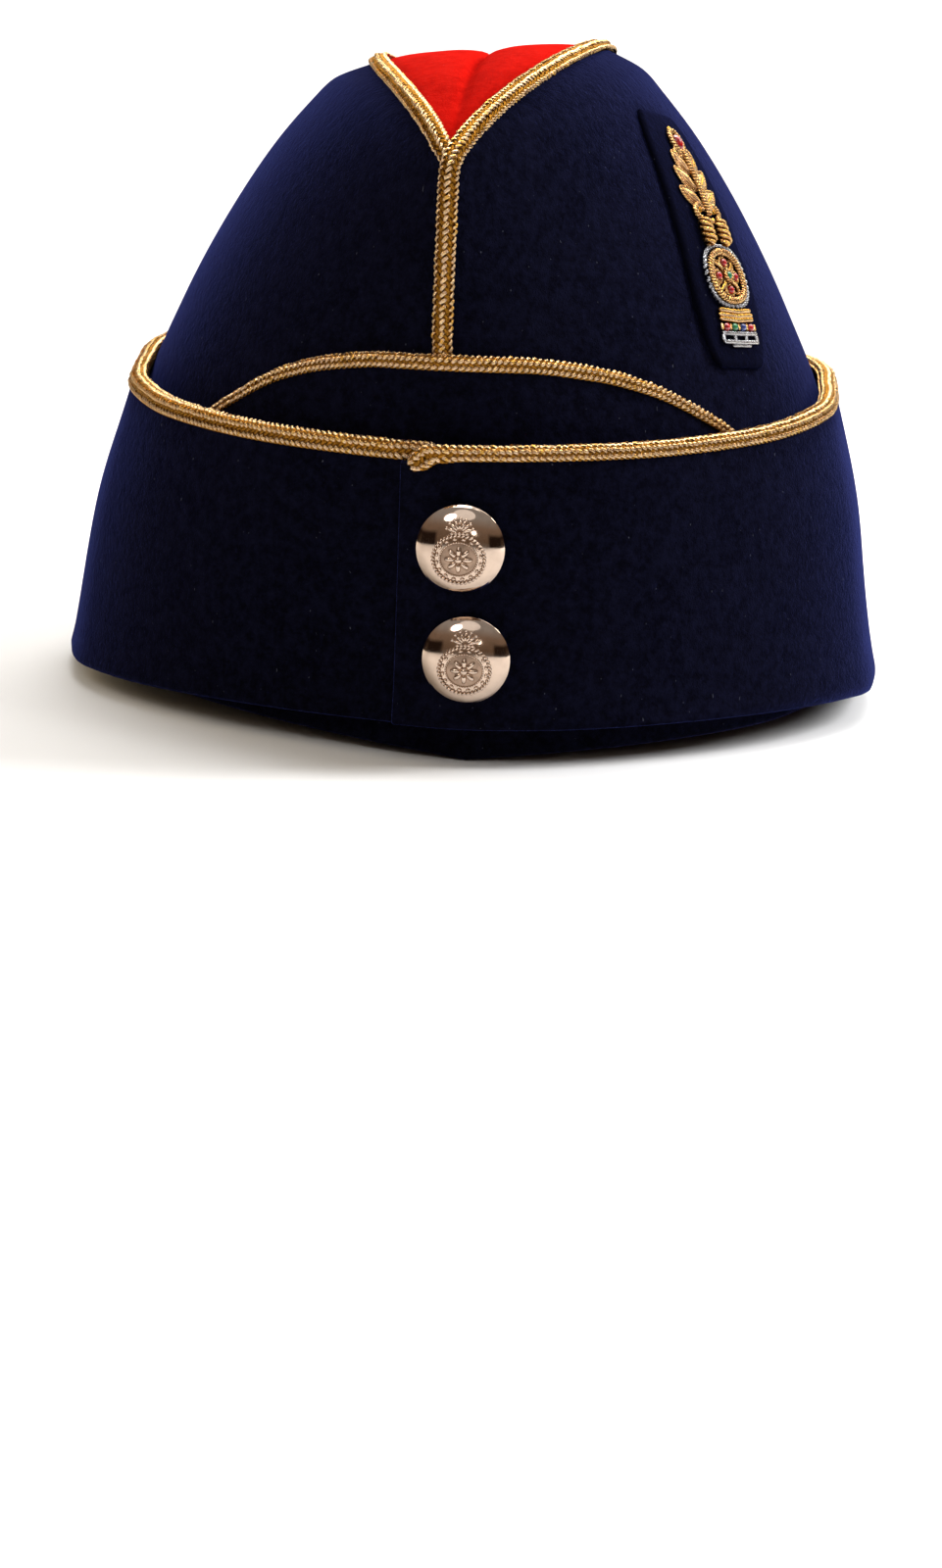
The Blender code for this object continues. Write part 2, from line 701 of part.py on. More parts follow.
def badge_frame():
    """The badge's middle on the left panel, and what a metre along and across it is in angle and rise."""
    place = crown_point(BADGE_ANGLE, BADGE_RISE)
    per_angle = (crown_point(BADGE_ANGLE + BADGE_STEP, BADGE_RISE) - place) / BADGE_STEP
    per_rise = (crown_point(BADGE_ANGLE, BADGE_RISE + BADGE_STEP) - place) / BADGE_STEP
    level = unit(np.array((per_angle[0], per_angle[1], 0.0)))
    upward = unit(per_rise - level * (per_rise @ level))
    along = upward * math.cos(BADGE_TURN) - level * math.sin(BADGE_TURN)
    across = level * math.cos(BADGE_TURN) + upward * math.sin(BADGE_TURN)
    basis = np.array((per_angle, per_rise)).T
    return [np.linalg.lstsq(basis, direction, rcond=None)[0] for direction in (along, across)]


def badge_point(along, across, out):
    """A point over the left panel, a distance along and across the badge from its middle, and out from the cloth."""
    up_step, side_step = badge_frame()
    angle, rise = np.array((BADGE_ANGLE, BADGE_RISE)) + along * up_step + across * side_step
    return crown_point(angle, rise) + crown_normal(angle, rise, ANGLE_STEP) * out


def make_badge_pieces(collection):
    """The felt patch on the left panel and the embroidered badge on it."""
    patch_outer, patch_inner, badge_outer, badge_inner = [], [], [], []
    face = GAP + PATCH_FELT
    for i in range(BADGE_STEPS + 1):
        place = between(BADGE.places[0], BADGE.places[-1], i / BADGE_STEPS)
        half, along = BADGE_LENGTH * BADGE.read("half_width", place), BADGE_LENGTH * place
        raised = [face + GAP + BADGE_RELIEF * (1 - BADGE_FALL * share**2) for share in BADGE_SHARES]
        badge_outer.append([badge_point(along, half * s, out) for s, out in zip(BADGE_SHARES, raised)])
        badge_inner.append([badge_point(along, half * s, face + GAP) for s in BADGE_SHARES])
        along = (BADGE_LENGTH + 2 * PATCH_MARGIN) * place
        wide = PATCH_HALF_WIDTH + PATCH_MARGIN * (1 - (2 * place) ** PATCH_POWER)
        patch_outer.append([badge_point(along, wide * s, face) for s in BADGE_SHARES])
        patch_inner.append([badge_point(along, wide * s, GAP) for s in BADGE_SHARES])
    add_shell("badge_patch", patch_outer, patch_inner, "black_felt", collection)
    add_shell("badge", badge_outer, badge_inner, "bullion", collection)


def main():
    for old in list(bpy.data.objects):
        bpy.data.objects.remove(old, do_unlink=True)
    collection = bpy.data.collections.new("side_cap")
    bpy.context.scene.collection.children.link(collection)
    for side in (1, -1):
        make_side_panel(side, collection)
    make_crown_top(collection)
    make_peak(collection)
    make_peak_braid(collection)
    make_curtain(collection)
    make_curtain_braid(collection)
    for side in (1, -1):
        make_ridge_braid(side, collection)
    make_button("button_upper", UPPER_BUTTON, collection)
    make_button("button_lower", LOWER_BUTTON, collection)
    make_badge_pieces(collection)


main()
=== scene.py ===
"""Officer's side cap: cloth, braid, buttons and badge over the cap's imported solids, on a pale studio floor.

Metres. +X is the wearer's left, -Y the front and +Z up.
"""

import math

import bmesh
import bpy
import numpy as np
from mathutils import Matrix, Vector


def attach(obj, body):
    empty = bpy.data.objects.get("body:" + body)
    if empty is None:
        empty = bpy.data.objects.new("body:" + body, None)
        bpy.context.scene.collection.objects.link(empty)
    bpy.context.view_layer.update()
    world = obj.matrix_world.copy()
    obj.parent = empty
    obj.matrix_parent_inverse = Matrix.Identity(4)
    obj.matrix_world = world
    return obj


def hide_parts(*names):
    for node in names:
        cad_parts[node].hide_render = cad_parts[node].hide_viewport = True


bl_info = {
    "name": "Officer's side cap",
    "version": (1, 0, 0),
    "blender": (4, 5, 0),
    "location": "3D View > Sidebar > Side Cap",
    "description": "Makes an officer's wool side cap with gilt braid, domed buttons and an embroidered badge",
    "category": "Object",
}

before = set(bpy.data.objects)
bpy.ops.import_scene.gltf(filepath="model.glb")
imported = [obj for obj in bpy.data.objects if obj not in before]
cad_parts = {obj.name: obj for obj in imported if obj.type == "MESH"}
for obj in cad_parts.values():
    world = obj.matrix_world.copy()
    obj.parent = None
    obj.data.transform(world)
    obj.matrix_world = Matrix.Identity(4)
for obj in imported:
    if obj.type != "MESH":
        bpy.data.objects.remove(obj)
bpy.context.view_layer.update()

# Cloth and clearances
GAP = 0.0003
CROWN_CLOTH = 0.0016
PEAK_CLOTH = 0.0016
CURTAIN_CLOTH = 0.0022
PATCH_FELT = 0.0010

# Crown, measured on its outer face
RIM_HALF_WIDTH, RIDGE_HALF_WIDTH = 0.0902, 0.0256
RIM_FRONT_REACH, RIDGE_FRONT_REACH = 0.0977, 0.0952
RIM_REAR_REACH, RIDGE_REAR_REACH = 0.1062, 0.1010
FRONT_HEIGHT, APEX_HEIGHT, REAR_HEIGHT = 0.1188, 0.1452, 0.1010
LEFT_RIDGE_LIFT = 0.0024
FRONT_ARCH, REAR_ARCH = 1.45, 1.30
FRONT_SHIFT, TOP_LEAN = 0.0086, 0.0012
RIM_TUCK = 0.0010
SEAM_RADIUS = 0.1
SEAM_GROOVE, SEAM_GROOVE_WIDTH = 0.0004, 0.0012

# Felt top. It settles by one share of the crease's depth and the crease cuts into it by the other, in a dip
# whose width is a share of half the top's.
CREASE_DEPTH, CREASE_WIDTH = 0.0016, 0.0011
CREASE_SETTLE, CREASE_CUT = 0.3, 1.3
DIP_WIDTH, DIP_SHARE = 0.17, 0.45
TOP_SWELL = 0.0022

# Curtain and peak
HEM_LIFT = 0.0072
CURTAIN_HEIGHT = 0.0790
CURTAIN_RADIUS = 0.098
CURTAIN_STAND_OFF = 0.0036
CURTAIN_FLARE_LEFT, CURTAIN_FLARE_RIGHT = 0.0045, 0.0062
FLARE_TOP_LEFT, FLARE_FALL_RIGHT = 0.56, 1.3
SIDE_EASE, SIDE_EASE_FROM, SIDE_EASE_POWER = 0.0012, 0.5, 8
FOLD_CURL, SIDE_CURL_LEFT, SIDE_CURL_RIGHT = 0.0016, 0.0062, 0.0026
FOLD_BULGE_HEIGHT = 0.004
ROOT_FROM, ROOT_TO = 0.0010, 0.0034
UNDER_END, LAP_END, LAP_SLANT, LAP_RAMP = (math.radians(a) for a in (14.0, -10.1, -3.4, 34.0))
LAST_TURN = LAP_END - 2 * math.pi
TAB_DROP = 0.0080
LAP_DROP, LAP_BEND = 0.0030, 0.0090
LAP_THIN_OVER, LAP_THIN_SHARE = 0.011, 0.4
PEAK_HEIGHT = 0.0812
PEAK_SWING, PEAK_TURN = math.radians(68.0), math.radians(1.7)
PEAK_OUT = 2 * GAP
PEAK_BLEND = (PEAK_SWING - 0.02, PEAK_SWING + 0.25)
PEAK_CURL = 0.0012
PEAK_BULGE, CURTAIN_BULGE = 0.0002, 0.0004
CURL_ROUNDING, CURL_REACH = 0.75, 0.9

# Points along, across and up the cloth, closer together at the ridges, the folds and the lap
PANEL_POINTS, TOP_POINTS, TOP_ACROSS, PEAK_POINTS = 171, 141, 61, 181
TOP_SPAN = (2.0, 178.0)
PANEL_RISES = np.concatenate((np.linspace(0.0, 0.94, 64), np.linspace(0.945, 1.0, 12)))
BAND_SHARES = np.concatenate((np.linspace(0.0, 0.16, 14), np.linspace(0.19, 1.0, 30)))
UNDER_POINTS, CURTAIN_POINTS, LAP_POINTS = 14, 430, 12
LAP_END_STEP, LAST_STEP = 0.004, 0.02

# Braid: how far it reaches down from an edge, how many strands cross it and by how many rows it is drawn
EDGE_BRAID, STRAND_STAND, BRIM_FLATNESS = 0.0010, 0.0007, 0.6
BRAID_SHORT = math.radians(2.3)
CURTAIN_BRAID_SHOWN, CURTAIN_BRAID_INSIDE = 0.0018, 0.0026
CURTAIN_STRANDS, CURTAIN_ROWS = 25, 27
BRAID_WIDE_LEFT, BRAID_WIDE_RIGHT, BRAID_WIDE_LAP = 0.93, 1.37, 1.60
BRAID_START, BRAID_BEHIND = LAP_END + 0.105, (LAP_END - 0.03, LAP_END + 0.05)
BEHIND_SINK, BEHIND_THINNING = 0.0010, 0.4
LAP_BRAID_SPREAD, LAP_BRAID_POINT, LAP_BRAID_TAPER = 0.024, 0.0030, 0.55
PEAK_BRAID_SHOWN = 0.0012
PEAK_STRANDS, PEAK_ROWS = 15, 21
PEAK_BRAID_NARROWING = 0.5
SEAM_BRAID_WIDTH, SEAM_BRAID_HEIGHT = 0.0034, 0.0013
RIDGE_STRANDS, RIDGE_ROWS = 11, 21
RIDGE_EDGE_LIFT, RIDGE_MIDDLE_LIFT, RIDGE_ROUNDING = 0.12, 0.50, 0.8
RIDGE_BEND, RIDGE_TUCK, RIDGE_SINK, RIDGE_SINK_OVER = 0.0006, math.radians(4.0), 0.0022, (0.34, 0.10)
RIDGE_START, SEAM_START, SEAM_END_ABOVE = 0.12, 0.995, 0.001

# Plait: how a strand rises and wanders as it crosses the others, how far it is painted darker as shade, and
# its core below it
CROSSING_FULLNESS = 1.25
EDGE_CALM, EDGE_TURN = 0.8, 0.9
UNEVEN_RISE, UNEVEN_PLACE, UNEVEN_TONE = 0.55, 0.34, 0.12
# Painted shade: the strands that run back are painted darker by one share, and the grooves between the ridges
# by the other
RETURN_SHADE, GROOVE_SHADE = 0.70, 0.14
STRAND_CORNERS = np.radians((90, 162, 234, 306, 18))
CORE_TOP, CORE_FOOT, CORE_EVERY = 0.3, 1.5, 6

# Buttons: the rolled edge is by share of the radius and height, and the ornament is in millimetres, by ring:
# beads, first one's place and step in degrees, half width and height, height of the middle, whether its beads
# lie along it, how far each is turned, and its half sizes
BUTTON_RADIUS, BUTTON_DOME = 0.0090, 0.0042
BUTTONS = {"button_upper": (0.0054, 0.0446), "button_lower": (0.0077, 0.0222)}
DOME_EDGE, DOME_POWER = 0.17, 0.62
ROLLED_EDGE = (
    (0.997, 0.00100), (1.0, 0.00072), (0.99, 0.00045), (0.96, 0.00024), (0.92, 0.0001), (0.4, 0.0), (0.0, 0.0)
)
RING_DROP, FAN_FOOT = -1.7, 3.5
RINGS = (
    (40, 0.0, 360 / 40, 5.15, 4.75, RING_DROP, True, 0.7, (0.62, 0.32, 0.60)),
    (44, 0.0, 360 / 44, 3.75, 3.35, RING_DROP, True, 0.0, (0.34, 0.24, 0.42)),
    (16, 11.25, 22.5, 4.45, 4.05, RING_DROP, False, 0.0, (0.34, 0.50, 0.42)),
    (8, 0.0, 45.0, 1.75, 1.60, RING_DROP, False, 0.0, (1.20, 0.62, 0.75)),
    (7, 18.0, 24.0, 1.55, 1.65, FAN_FOOT, False, 0.0, (1.10, 0.42, 0.64)),
    (7, 18.0, 24.0, 2.75, 2.75, FAN_FOOT, False, 0.0, (0.40, 0.40, 0.50)),
)
FAN_PARTS, FAN_TOP, FAN_BEND = (-1.5, -0.75, 0.0, 0.75, 1.5), 3.45, 0.04
PATINA_OVAL = (3.75, 3.35)
DOME_REACH, DOME_RINGS, DOME_SIDES, SMOOTH_ANGLE = 0.985, 38, 96, math.radians(48.0)

# Badge: its embroidery is drawn in units across and along it
BADGE_ANGLE, BADGE_RISE, BADGE_TURN = math.radians(63.5), 0.7255, math.radians(-6.0)
BADGE_LENGTH = 0.0510
BADGE_UNIT = BADGE_LENGTH / 52
PATCH_HALF_WIDTH, PATCH_MARGIN = 0.0078, 0.0042
PATCH_END, PATCH_CORNER, PATCH_UNEVEN = 0.86, 0.06, 0.012
PATCH_EDGE, PATCH_ROUND = 0.35, 0.0009
ROPE_STEP, PURL_STEP, PURL_SIDES = 0.00022, 0.0004, 10
WIRE_TURN = 0.0011
# Bullion wire by colour: bright, dull and deep. Dull is random tarnish and painted shade part way into the
# hollows; deep is painted shade at their bottom
BULLION_GOLD = (0.96, 0.60, 0.120), (0.36, 0.130, 0.012), (0.04, 0.012, 0.002)
BULLION_SILVER = (0.46, 0.47, 0.51), (0.20, 0.21, 0.25), (0.05, 0.05, 0.07)
STONES = {"red": (0.45, 0.006, 0.008), "green": (0.01, 0.16, 0.05), "blue": (0.012, 0.03, 0.18)}

# Steps over which slopes are measured, and how far from an edge the cloth's lie is read
ANGLE_STEP, SWING_STEP, CROWN_STEP, BADGE_STEP = 0.02, 0.03, 0.05, 0.01
RISE_STEP, SHARE_STEP = 0.02, 0.05
SEAM_BESIDE, SEAM_TOP, TOP_BESIDE = 0.14, 0.985, 0.9

# Camera and lights. Each light has its place, the point it is aimed at, its size, power in watts and colour.
PICTURE_HEIGHT, FOCAL_PIXELS, SENSOR = 1600, 2630, 36.0
CAMERA_ASIDE = math.radians(-0.1)
AIM = (0.0, 0.0, 0.08)
LIGHTS = (
    ("top_light", (0.35, 0.40, 1.08), AIM, 0.9, 7.0, (1.0, 0.99, 0.97)),
    ("left_light", (1.15, 0.38, 0.72), AIM, 0.7, 36.0, (0.97, 0.98, 1.0)),
    ("right_light", (-1.10, 0.35, 0.44), AIM, 0.8, 8.0, (1.0, 0.80, 0.50)),
    ("rim_light", (1.05, 0.30, 1.00), AIM, 0.30, 2.6, (1.0, 0.98, 0.94)),
    ("shine_light", (-0.08, 0.20, 1.20), AIM, 0.75, 9.0, (1.0, 0.98, 0.94)),
    ("front_light", (-0.48, -0.98, 1.00), AIM, 0.44, 2.8, (1.0, 0.97, 0.93)),
    ("spark_light", (0.30, -1.25, 0.44), AIM, 0.14, 0.4, (1.0, 0.96, 0.90)),
    ("floor_light", (0.0, -1.6, 2.2), (0.0, -0.3, 0.0), 1.6, 5.0, (1.0, 1.0, 1.0)),
    ("backdrop_light", (0.0, 0.9, 2.4), (0.0, 2.6, 0.6), 1.8, 85.0, (1.0, 1.0, 1.0)),
)
NOT_MIRRORED, MIRRORED_ONLY = ("left_light", "right_light"), ("shine_light",)
BLACK, WHITE = (0.0, 0.0, 0.0), (1.0, 1.0, 1.0)
WALL_BY_HEIGHT = (
    (0.00, (0.34, 0.29, 0.25)),
    (0.10, (0.27, 0.18, 0.12)),
    (0.45, (0.43, 0.31, 0.23)),
    (0.75, (0.62, 0.60, 0.59)),
)
DARK_WALL = (0.035, 0.02, 0.014)
DARK_ASIDE = ((0.58, BLACK), (0.66, WHITE), (0.97, WHITE), (1.00, (0.6, 0.6, 0.6)))
DARK_BELOW = ((0.24, WHITE), (0.34, BLACK))
WALL_BRIGHTNESS = 0.6
FLOOR_FRONT, FLOOR_REACH, FLOOR_BEND, FLOOR_TOP, FLOOR_HALF = -3.0, 1.4, 1.1, 3.2, 3.5


class Smooth:
    """Columns of a short table, each read between its rows on a smooth curve that doesn't overshoot them."""

    def __init__(self, columns, rows):
        rows = np.array(rows, float)
        self.places = rows[:, 0]
        self.columns = {name: rows[:, i] for i, name in enumerate(columns)}

    def read(self, column, at):
        x, y = self.places, self.columns[column]
        step = np.diff(y) / np.diff(x)
        same = step[:-1] * step[1:]
        slope = np.where(same > 0, 2 * same / np.where(same > 0, step[:-1] + step[1:], 1.0), 0.0)
        slope = np.concatenate((step[:1], slope, step[-1:]))
        at = np.clip(at, x[0], x[-1])
        i = np.clip(np.searchsorted(x, at) - 1, 0, len(x) - 2)
        width = x[i + 1] - x[i]
        s = (at - x[i]) / width
        ends = y[i] * (1 + 2 * s) * (1 - s) ** 2 + y[i + 1] * s * s * (3 - 2 * s)
        return ends + width * (slope[i] * s * (1 - s) ** 2 - slope[i + 1] * s * s * (1 - s))


SECTIONS = Smooth(
    ("rise", "narrowing", "front_lean", "rear_lean", "front_point", "rear_point", "shift", "top_lean"),
    (
        (0.00, 0.000, 0.00, 0.00, 1.35, 1.22, 1.00, 0.00),
        (0.22, 0.045, 0.20, 0.02, 1.36, 1.24, 0.72, 0.00),
        (0.45, 0.155, 0.50, 0.08, 1.40, 1.28, 0.36, 0.10),
        (0.61, 0.306, 0.75, 0.22, 1.46, 1.34, 0.12, 0.30),
        (0.74, 0.460, 0.90, 0.42, 1.56, 1.44, 0.00, 0.50),
        (0.86, 0.634, 1.00, 0.66, 1.68, 1.58, 0.00, 0.85),
        (0.94, 0.783, 1.02, 0.85, 1.78, 1.72, 0.00, 1.00),
        (0.97, 0.850, 1.02, 0.92, 1.95, 1.84, 0.00, 1.00),
        (1.00, 1.000, 1.00, 1.00, 2.15, 1.95, 0.00, 0.35),
    ),
)
HEM = Smooth(
    ("angle", "fold_left", "fold_right", "peak_fold", "top", "stand_off_left", "stand_off_right"),
    (
        (0, 1.00, 1.00, 0.00, 0.806, 0.40, 0.40),
        (16, 1.02, 0.95, 0.20, 0.809, 0.42, 0.42),
        (34, 1.04, 0.84, 0.40, 0.818, 0.74, 0.74),
        (52, 1.00, 0.66, 0.60, 0.842, 0.76, 0.72),
        (66, 0.90, 0.54, 0.90, 0.882, 0.72, 0.50),
        (80, 0.62, 0.44, 0.90, 0.938, 0.68, 0.40),
        (96, 0.30, 0.24, 0.90, 0.975, 0.68, 0.40),
        (116, 0.00, 0.00, 0.90, 0.985, 0.66, 0.40),
        (180, 0.00, 0.00, 0.90, 0.955, 0.45, 0.45),
    ),
)
PEAK = Smooth(
    ("swing", "height"),
    (
        (0.00, 1.000),
        (0.28, 0.997),
        (0.44, 0.978),
        (0.56, 0.940),
        (0.68, 0.860),
        (0.80, 0.745),
        (0.92, 0.560),
        (1.00, 0.380),
    ),
)


# The cap's surfaces, by angle from the front and by height or rise. All of these take arrays.


def between(low, high, share):
    return low + (high - low) * share


def ramp(low, high, at):
    s = np.clip((at - low) / (high - low), 0.0, 1.0)
    return s * s * (3 - 2 * s)


def unit(vectors):
    return vectors / np.linalg.norm(vectors, axis=-1, keepdims=True)


def length_along(points):
    """The length of a line up to each of its points."""
    return np.concatenate(([0.0], np.cumsum(np.linalg.norm(np.diff(points, axis=0), axis=1))))


def turned(angle):
    return (angle + math.pi) % (2 * math.pi) - math.pi


def hem(column, angle):
    return HEM.read(column, np.abs(np.degrees(turned(angle))))


def sided_hem(column, angle):
    return np.where(turned(angle) > 0, hem(column + "_left", angle), hem(column + "_right", angle))


def curtain_fold(angle):
    return HEM_LIFT * sided_hem("fold", angle)


def curtain_top(angle):
    return CURTAIN_HEIGHT * hem("top", angle)


def peak_fold(angle):
    return HEM_LIFT * hem("peak_fold", angle)


def peak_top(angle):
    return PEAK_HEIGHT * PEAK.read("height", np.minimum(np.abs(angle - PEAK_TURN) / PEAK_SWING, 1.0))


def rim_height(angle):
    return np.minimum(curtain_fold(angle), peak_fold(angle)) + RIM_TUCK


def ridge_height(angle):
    sine, cosine = np.maximum(np.sin(np.abs(angle)), 0.0), np.cos(angle)
    end = np.where(cosine > 0, FRONT_HEIGHT, REAR_HEIGHT)
    power = np.where(cosine > 0, FRONT_ARCH, REAR_ARCH)
    lift = np.where(angle > 0, LEFT_RIDGE_LIFT, -LEFT_RIDGE_LIFT)
    return between(end, APEX_HEIGHT, sine**power) + lift * sine * sine


def crown_lean(angle, rise):
    """How far the crown leans across: its front to the wearer's left and its top to the wearer's right."""
    front = FRONT_SHIFT * SECTIONS.read("shift", rise) * ((1 + np.cos(angle)) / 2) ** 3
    return front - TOP_LEAN * SECTIONS.read("top_lean", rise) * np.sin(angle) ** 2


def crown_point(angle, rise):
    """The crown's outer face."""
    angle, rise = np.broadcast_arrays(np.asarray(angle, float), np.asarray(rise, float))
    sine, cosine = np.maximum(np.sin(np.abs(angle)), 0.0), np.cos(angle)
    front = cosine > 0
    reach = np.where(
        front,
        between(RIM_FRONT_REACH, RIDGE_FRONT_REACH, SECTIONS.read("front_lean", rise)),
        between(RIM_REAR_REACH, RIDGE_REAR_REACH, SECTIONS.read("rear_lean", rise)),
    )
    point = np.where(front, SECTIONS.read("front_point", rise), SECTIONS.read("rear_point", rise))
    half_width = between(RIM_HALF_WIDTH, RIDGE_HALF_WIDTH, SECTIONS.read("narrowing", rise))
    across = np.copysign(half_width * sine**point, angle) + crown_lean(angle, rise)
    return np.stack((across, -reach * cosine, between(rim_height(angle), ridge_height(angle), rise)), -1)


def rises_about(rise):
    return np.maximum(rise - RISE_STEP, 0.0), np.minimum(rise + RISE_STEP, 1.0)


def crown_normal(angle, rise, reach=CROWN_STEP):
    foot, head = rises_about(rise)
    around = crown_point(turned(angle + reach), rise) - crown_point(turned(angle - reach), rise)
    return unit(np.cross(around, crown_point(angle, head) - crown_point(angle, foot)))


def panel_normal(side, swing, rise):
    """The way out of one side panel; swing runs from 0 at the front to a half turn at the rear."""
    low, high = np.maximum(swing - SWING_STEP, 0.0), np.minimum(swing + SWING_STEP, math.pi)
    around = crown_point(side * high, rise) - crown_point(side * low, rise)
    foot, head = rises_about(rise)
    up_it = crown_point(side * swing, head) - crown_point(side * swing, foot)
    return side * unit(np.cross(around, up_it))


def rise_at(angle, height):
    foot = rim_height(angle)
    return (height - foot) / (ridge_height(angle) - foot)


def layer_point(angle, height, out):
    """A point at this height, out from the crown's outer face."""
    angle, height, out = np.broadcast_arrays(turned(np.asarray(angle, float)), height, out)
    rise = rise_at(angle, height)
    place = crown_point(angle, np.clip(rise, 0.0, 1.0))
    normal = crown_normal(angle, np.clip(rise, RISE_STEP, 1 - RISE_STEP))
    level = normal * (1.0, 1.0, 0.0)
    place = place + level * (out / (level * level).sum(-1))[..., None]
    place[..., 2] = height
    return place


def edge_point(angle, edge, down, out):
    """A point a distance down from a turned-up edge, square to it, and out from the crown."""
    ahead, behind = angle + ANGLE_STEP, angle - ANGLE_STEP
    level = (layer_point(ahead, edge(ahead), 0) - layer_point(behind, edge(behind), 0))[..., :2]
    arc = np.linalg.norm(level, axis=-1)
    slope = np.arctan2(edge(ahead) - edge(behind), arc)
    aside = down * np.sin(slope) * 2 * ANGLE_STEP / arc
    return layer_point(angle + aside, edge(angle) - down * np.cos(slope), out)


def top_point(swing, share):
    """The felt top between the ridges; share runs from -1 on the right ridge to 1 on the left one."""
    swing, share = np.broadcast_arrays(np.asarray(swing, float), np.asarray(share, float))
    left, right = crown_point(swing, 1.0), crown_point(-swing, 1.0)
    place = right + (left - right) * ((share + 1) / 2)[..., None]
    beside = np.abs(share)
    width = (left - right)[..., 0] / 2
    crease = np.exp(-((share * width / CREASE_WIDTH) ** 2))
    dip = np.exp(-((beside / DIP_WIDTH) ** 2))
    swell = TOP_SWELL * (1 - DIP_SHARE * dip) * (1 - beside**4)
    cut = CREASE_CUT * CREASE_DEPTH * crease
    rise = np.sin(swing) ** 2
    place[..., 2] += rise * (swell - CREASE_SETTLE * CREASE_DEPTH) - rise**2 * cut
    return place


def top_normal(swing, share):
    low, high = np.maximum(share - SHARE_STEP, -1.0), np.minimum(share + SHARE_STEP, 1.0)
    ahead, behind = np.minimum(swing + SWING_STEP, math.pi), np.maximum(swing - SWING_STEP, 0.0)
    along = top_point(ahead, share) - top_point(behind, share)
    return unit(np.cross(top_point(swing, high) - top_point(swing, low), along))


def curtain_out(turn, share, flare=1.0):
    """How far the curtain's inner face stands out from the crown, along its wrap and up its height.

    flare scales how far its foot spreads at the two sides.
    """
    angle = turned(turn)
    beside_peak = ramp(*PEAK_BLEND, np.abs(angle - PEAK_TURN))
    lap_start = UNDER_END - 2 * math.pi
    lapped = 1 - ramp(lap_start, lap_start + LAP_RAMP, turn)
    left = CURTAIN_FLARE_LEFT * np.maximum(0.0, 1 - share / FLARE_TOP_LEFT) ** 2
    right = CURTAIN_FLARE_RIGHT * np.maximum(0.0, 1 - share) ** FLARE_FALL_RIGHT
    return (
        GAP
        + (PEAK_OUT + PEAK_CLOTH + GAP) * (1 - beside_peak)
        + (CURTAIN_CLOTH + GAP) * lapped
        + flare * np.where(angle > 0, left, right) * np.sin(angle) ** 2
        + CURTAIN_STAND_OFF * sided_hem("stand_off", angle) * share
        - SIDE_EASE * ramp(SIDE_EASE_FROM, 1.0, share) * np.sin(angle) ** SIDE_EASE_POWER
    )


def turn_at(across, height):
    """Where along its wrap, near its lapping end, the curtain is this far across at this height."""
    low, high, halvings = LAST_TURN, UNDER_END - 2 * math.pi, 30
    for _ in range(halvings):
        middle = (low + high) / 2
        low, high = (middle, high) if layer_point(middle, height, 0)[0] < across else (low, middle)
    return low


def wander(*places, seed=0.0):
    """A smooth wave of about plus or minus one, for cloth that is never quite even."""
    total, fine = 0.0, 0.6
    for i, place in enumerate(places):
        start = seed + 1.7 * i
        total = total + np.sin(place + 1.3 * start) + fine * np.sin(1.83 * place + 2.1 * start + total)
    return total / ((1 + fine) * len(places))


# Meshes


def new_object(name, mesh):
    obj = bpy.data.objects.new(name, mesh)
    bpy.context.scene.collection.objects.link(obj)
    return obj


def grid_faces(stations, rows, start=0, around=False):
    """Faces of a grid of points, station by station; around closes each station into a ring."""
    s, r = np.meshgrid(np.arange(stations - 1), np.arange(rows if around else rows - 1), indexing="ij")
    low = start + s * rows + r
    low_next = start + s * rows + (r + 1) % rows
    return np.stack((low, low_next, low_next + rows, low + rows), -1).reshape(-1, 4)


def outward(mesh, within=1e-7):
    """Merges a mesh's doubles and turns its faces outwards."""
    shape = bmesh.new()
    shape.from_mesh(mesh)
    bmesh.ops.remove_doubles(shape, verts=shape.verts, dist=within)
    bmesh.ops.recalc_face_normals(shape, faces=shape.faces)
    shape.to_mesh(mesh)
    shape.free()


def smooth_shading(mesh, under=50.0):
    mesh.shade_smooth()
    mesh.set_sharp_from_angle(angle=math.radians(under))


def tube_object(name, rings):
    """A closed piece from rings of points, station by station, with its two ends closed."""
    rings = np.asarray(rings)
    stations, rows = rings.shape[:2]
    faces = grid_faces(stations, rows, around=True).tolist()
    faces.append(list(range(rows)))
    faces.append([(stations - 1) * rows + r for r in range(rows)])
    mesh = bpy.data.meshes.new(name)
    mesh.from_pydata(rings.reshape(-1, 3).tolist(), [], faces)
    outward(mesh)
    return new_object(name, mesh)


def wall_object(name, outer, inner):
    """A closed wall between two sheets of points."""
    outer, inner = np.asarray(outer), np.asarray(inner)
    return tube_object(name, np.concatenate((outer, inner[:, ::-1]), 1))


def dress(obj, material, slot, *nodes):
    """Gives a finished piece its material, lets it ride with the cap and hides the solids it stands for."""
    if material:
        obj.data.materials.clear()
        obj.data.materials.append(material)
    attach(obj, "root")
    if nodes:
        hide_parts(*nodes)
    return obj


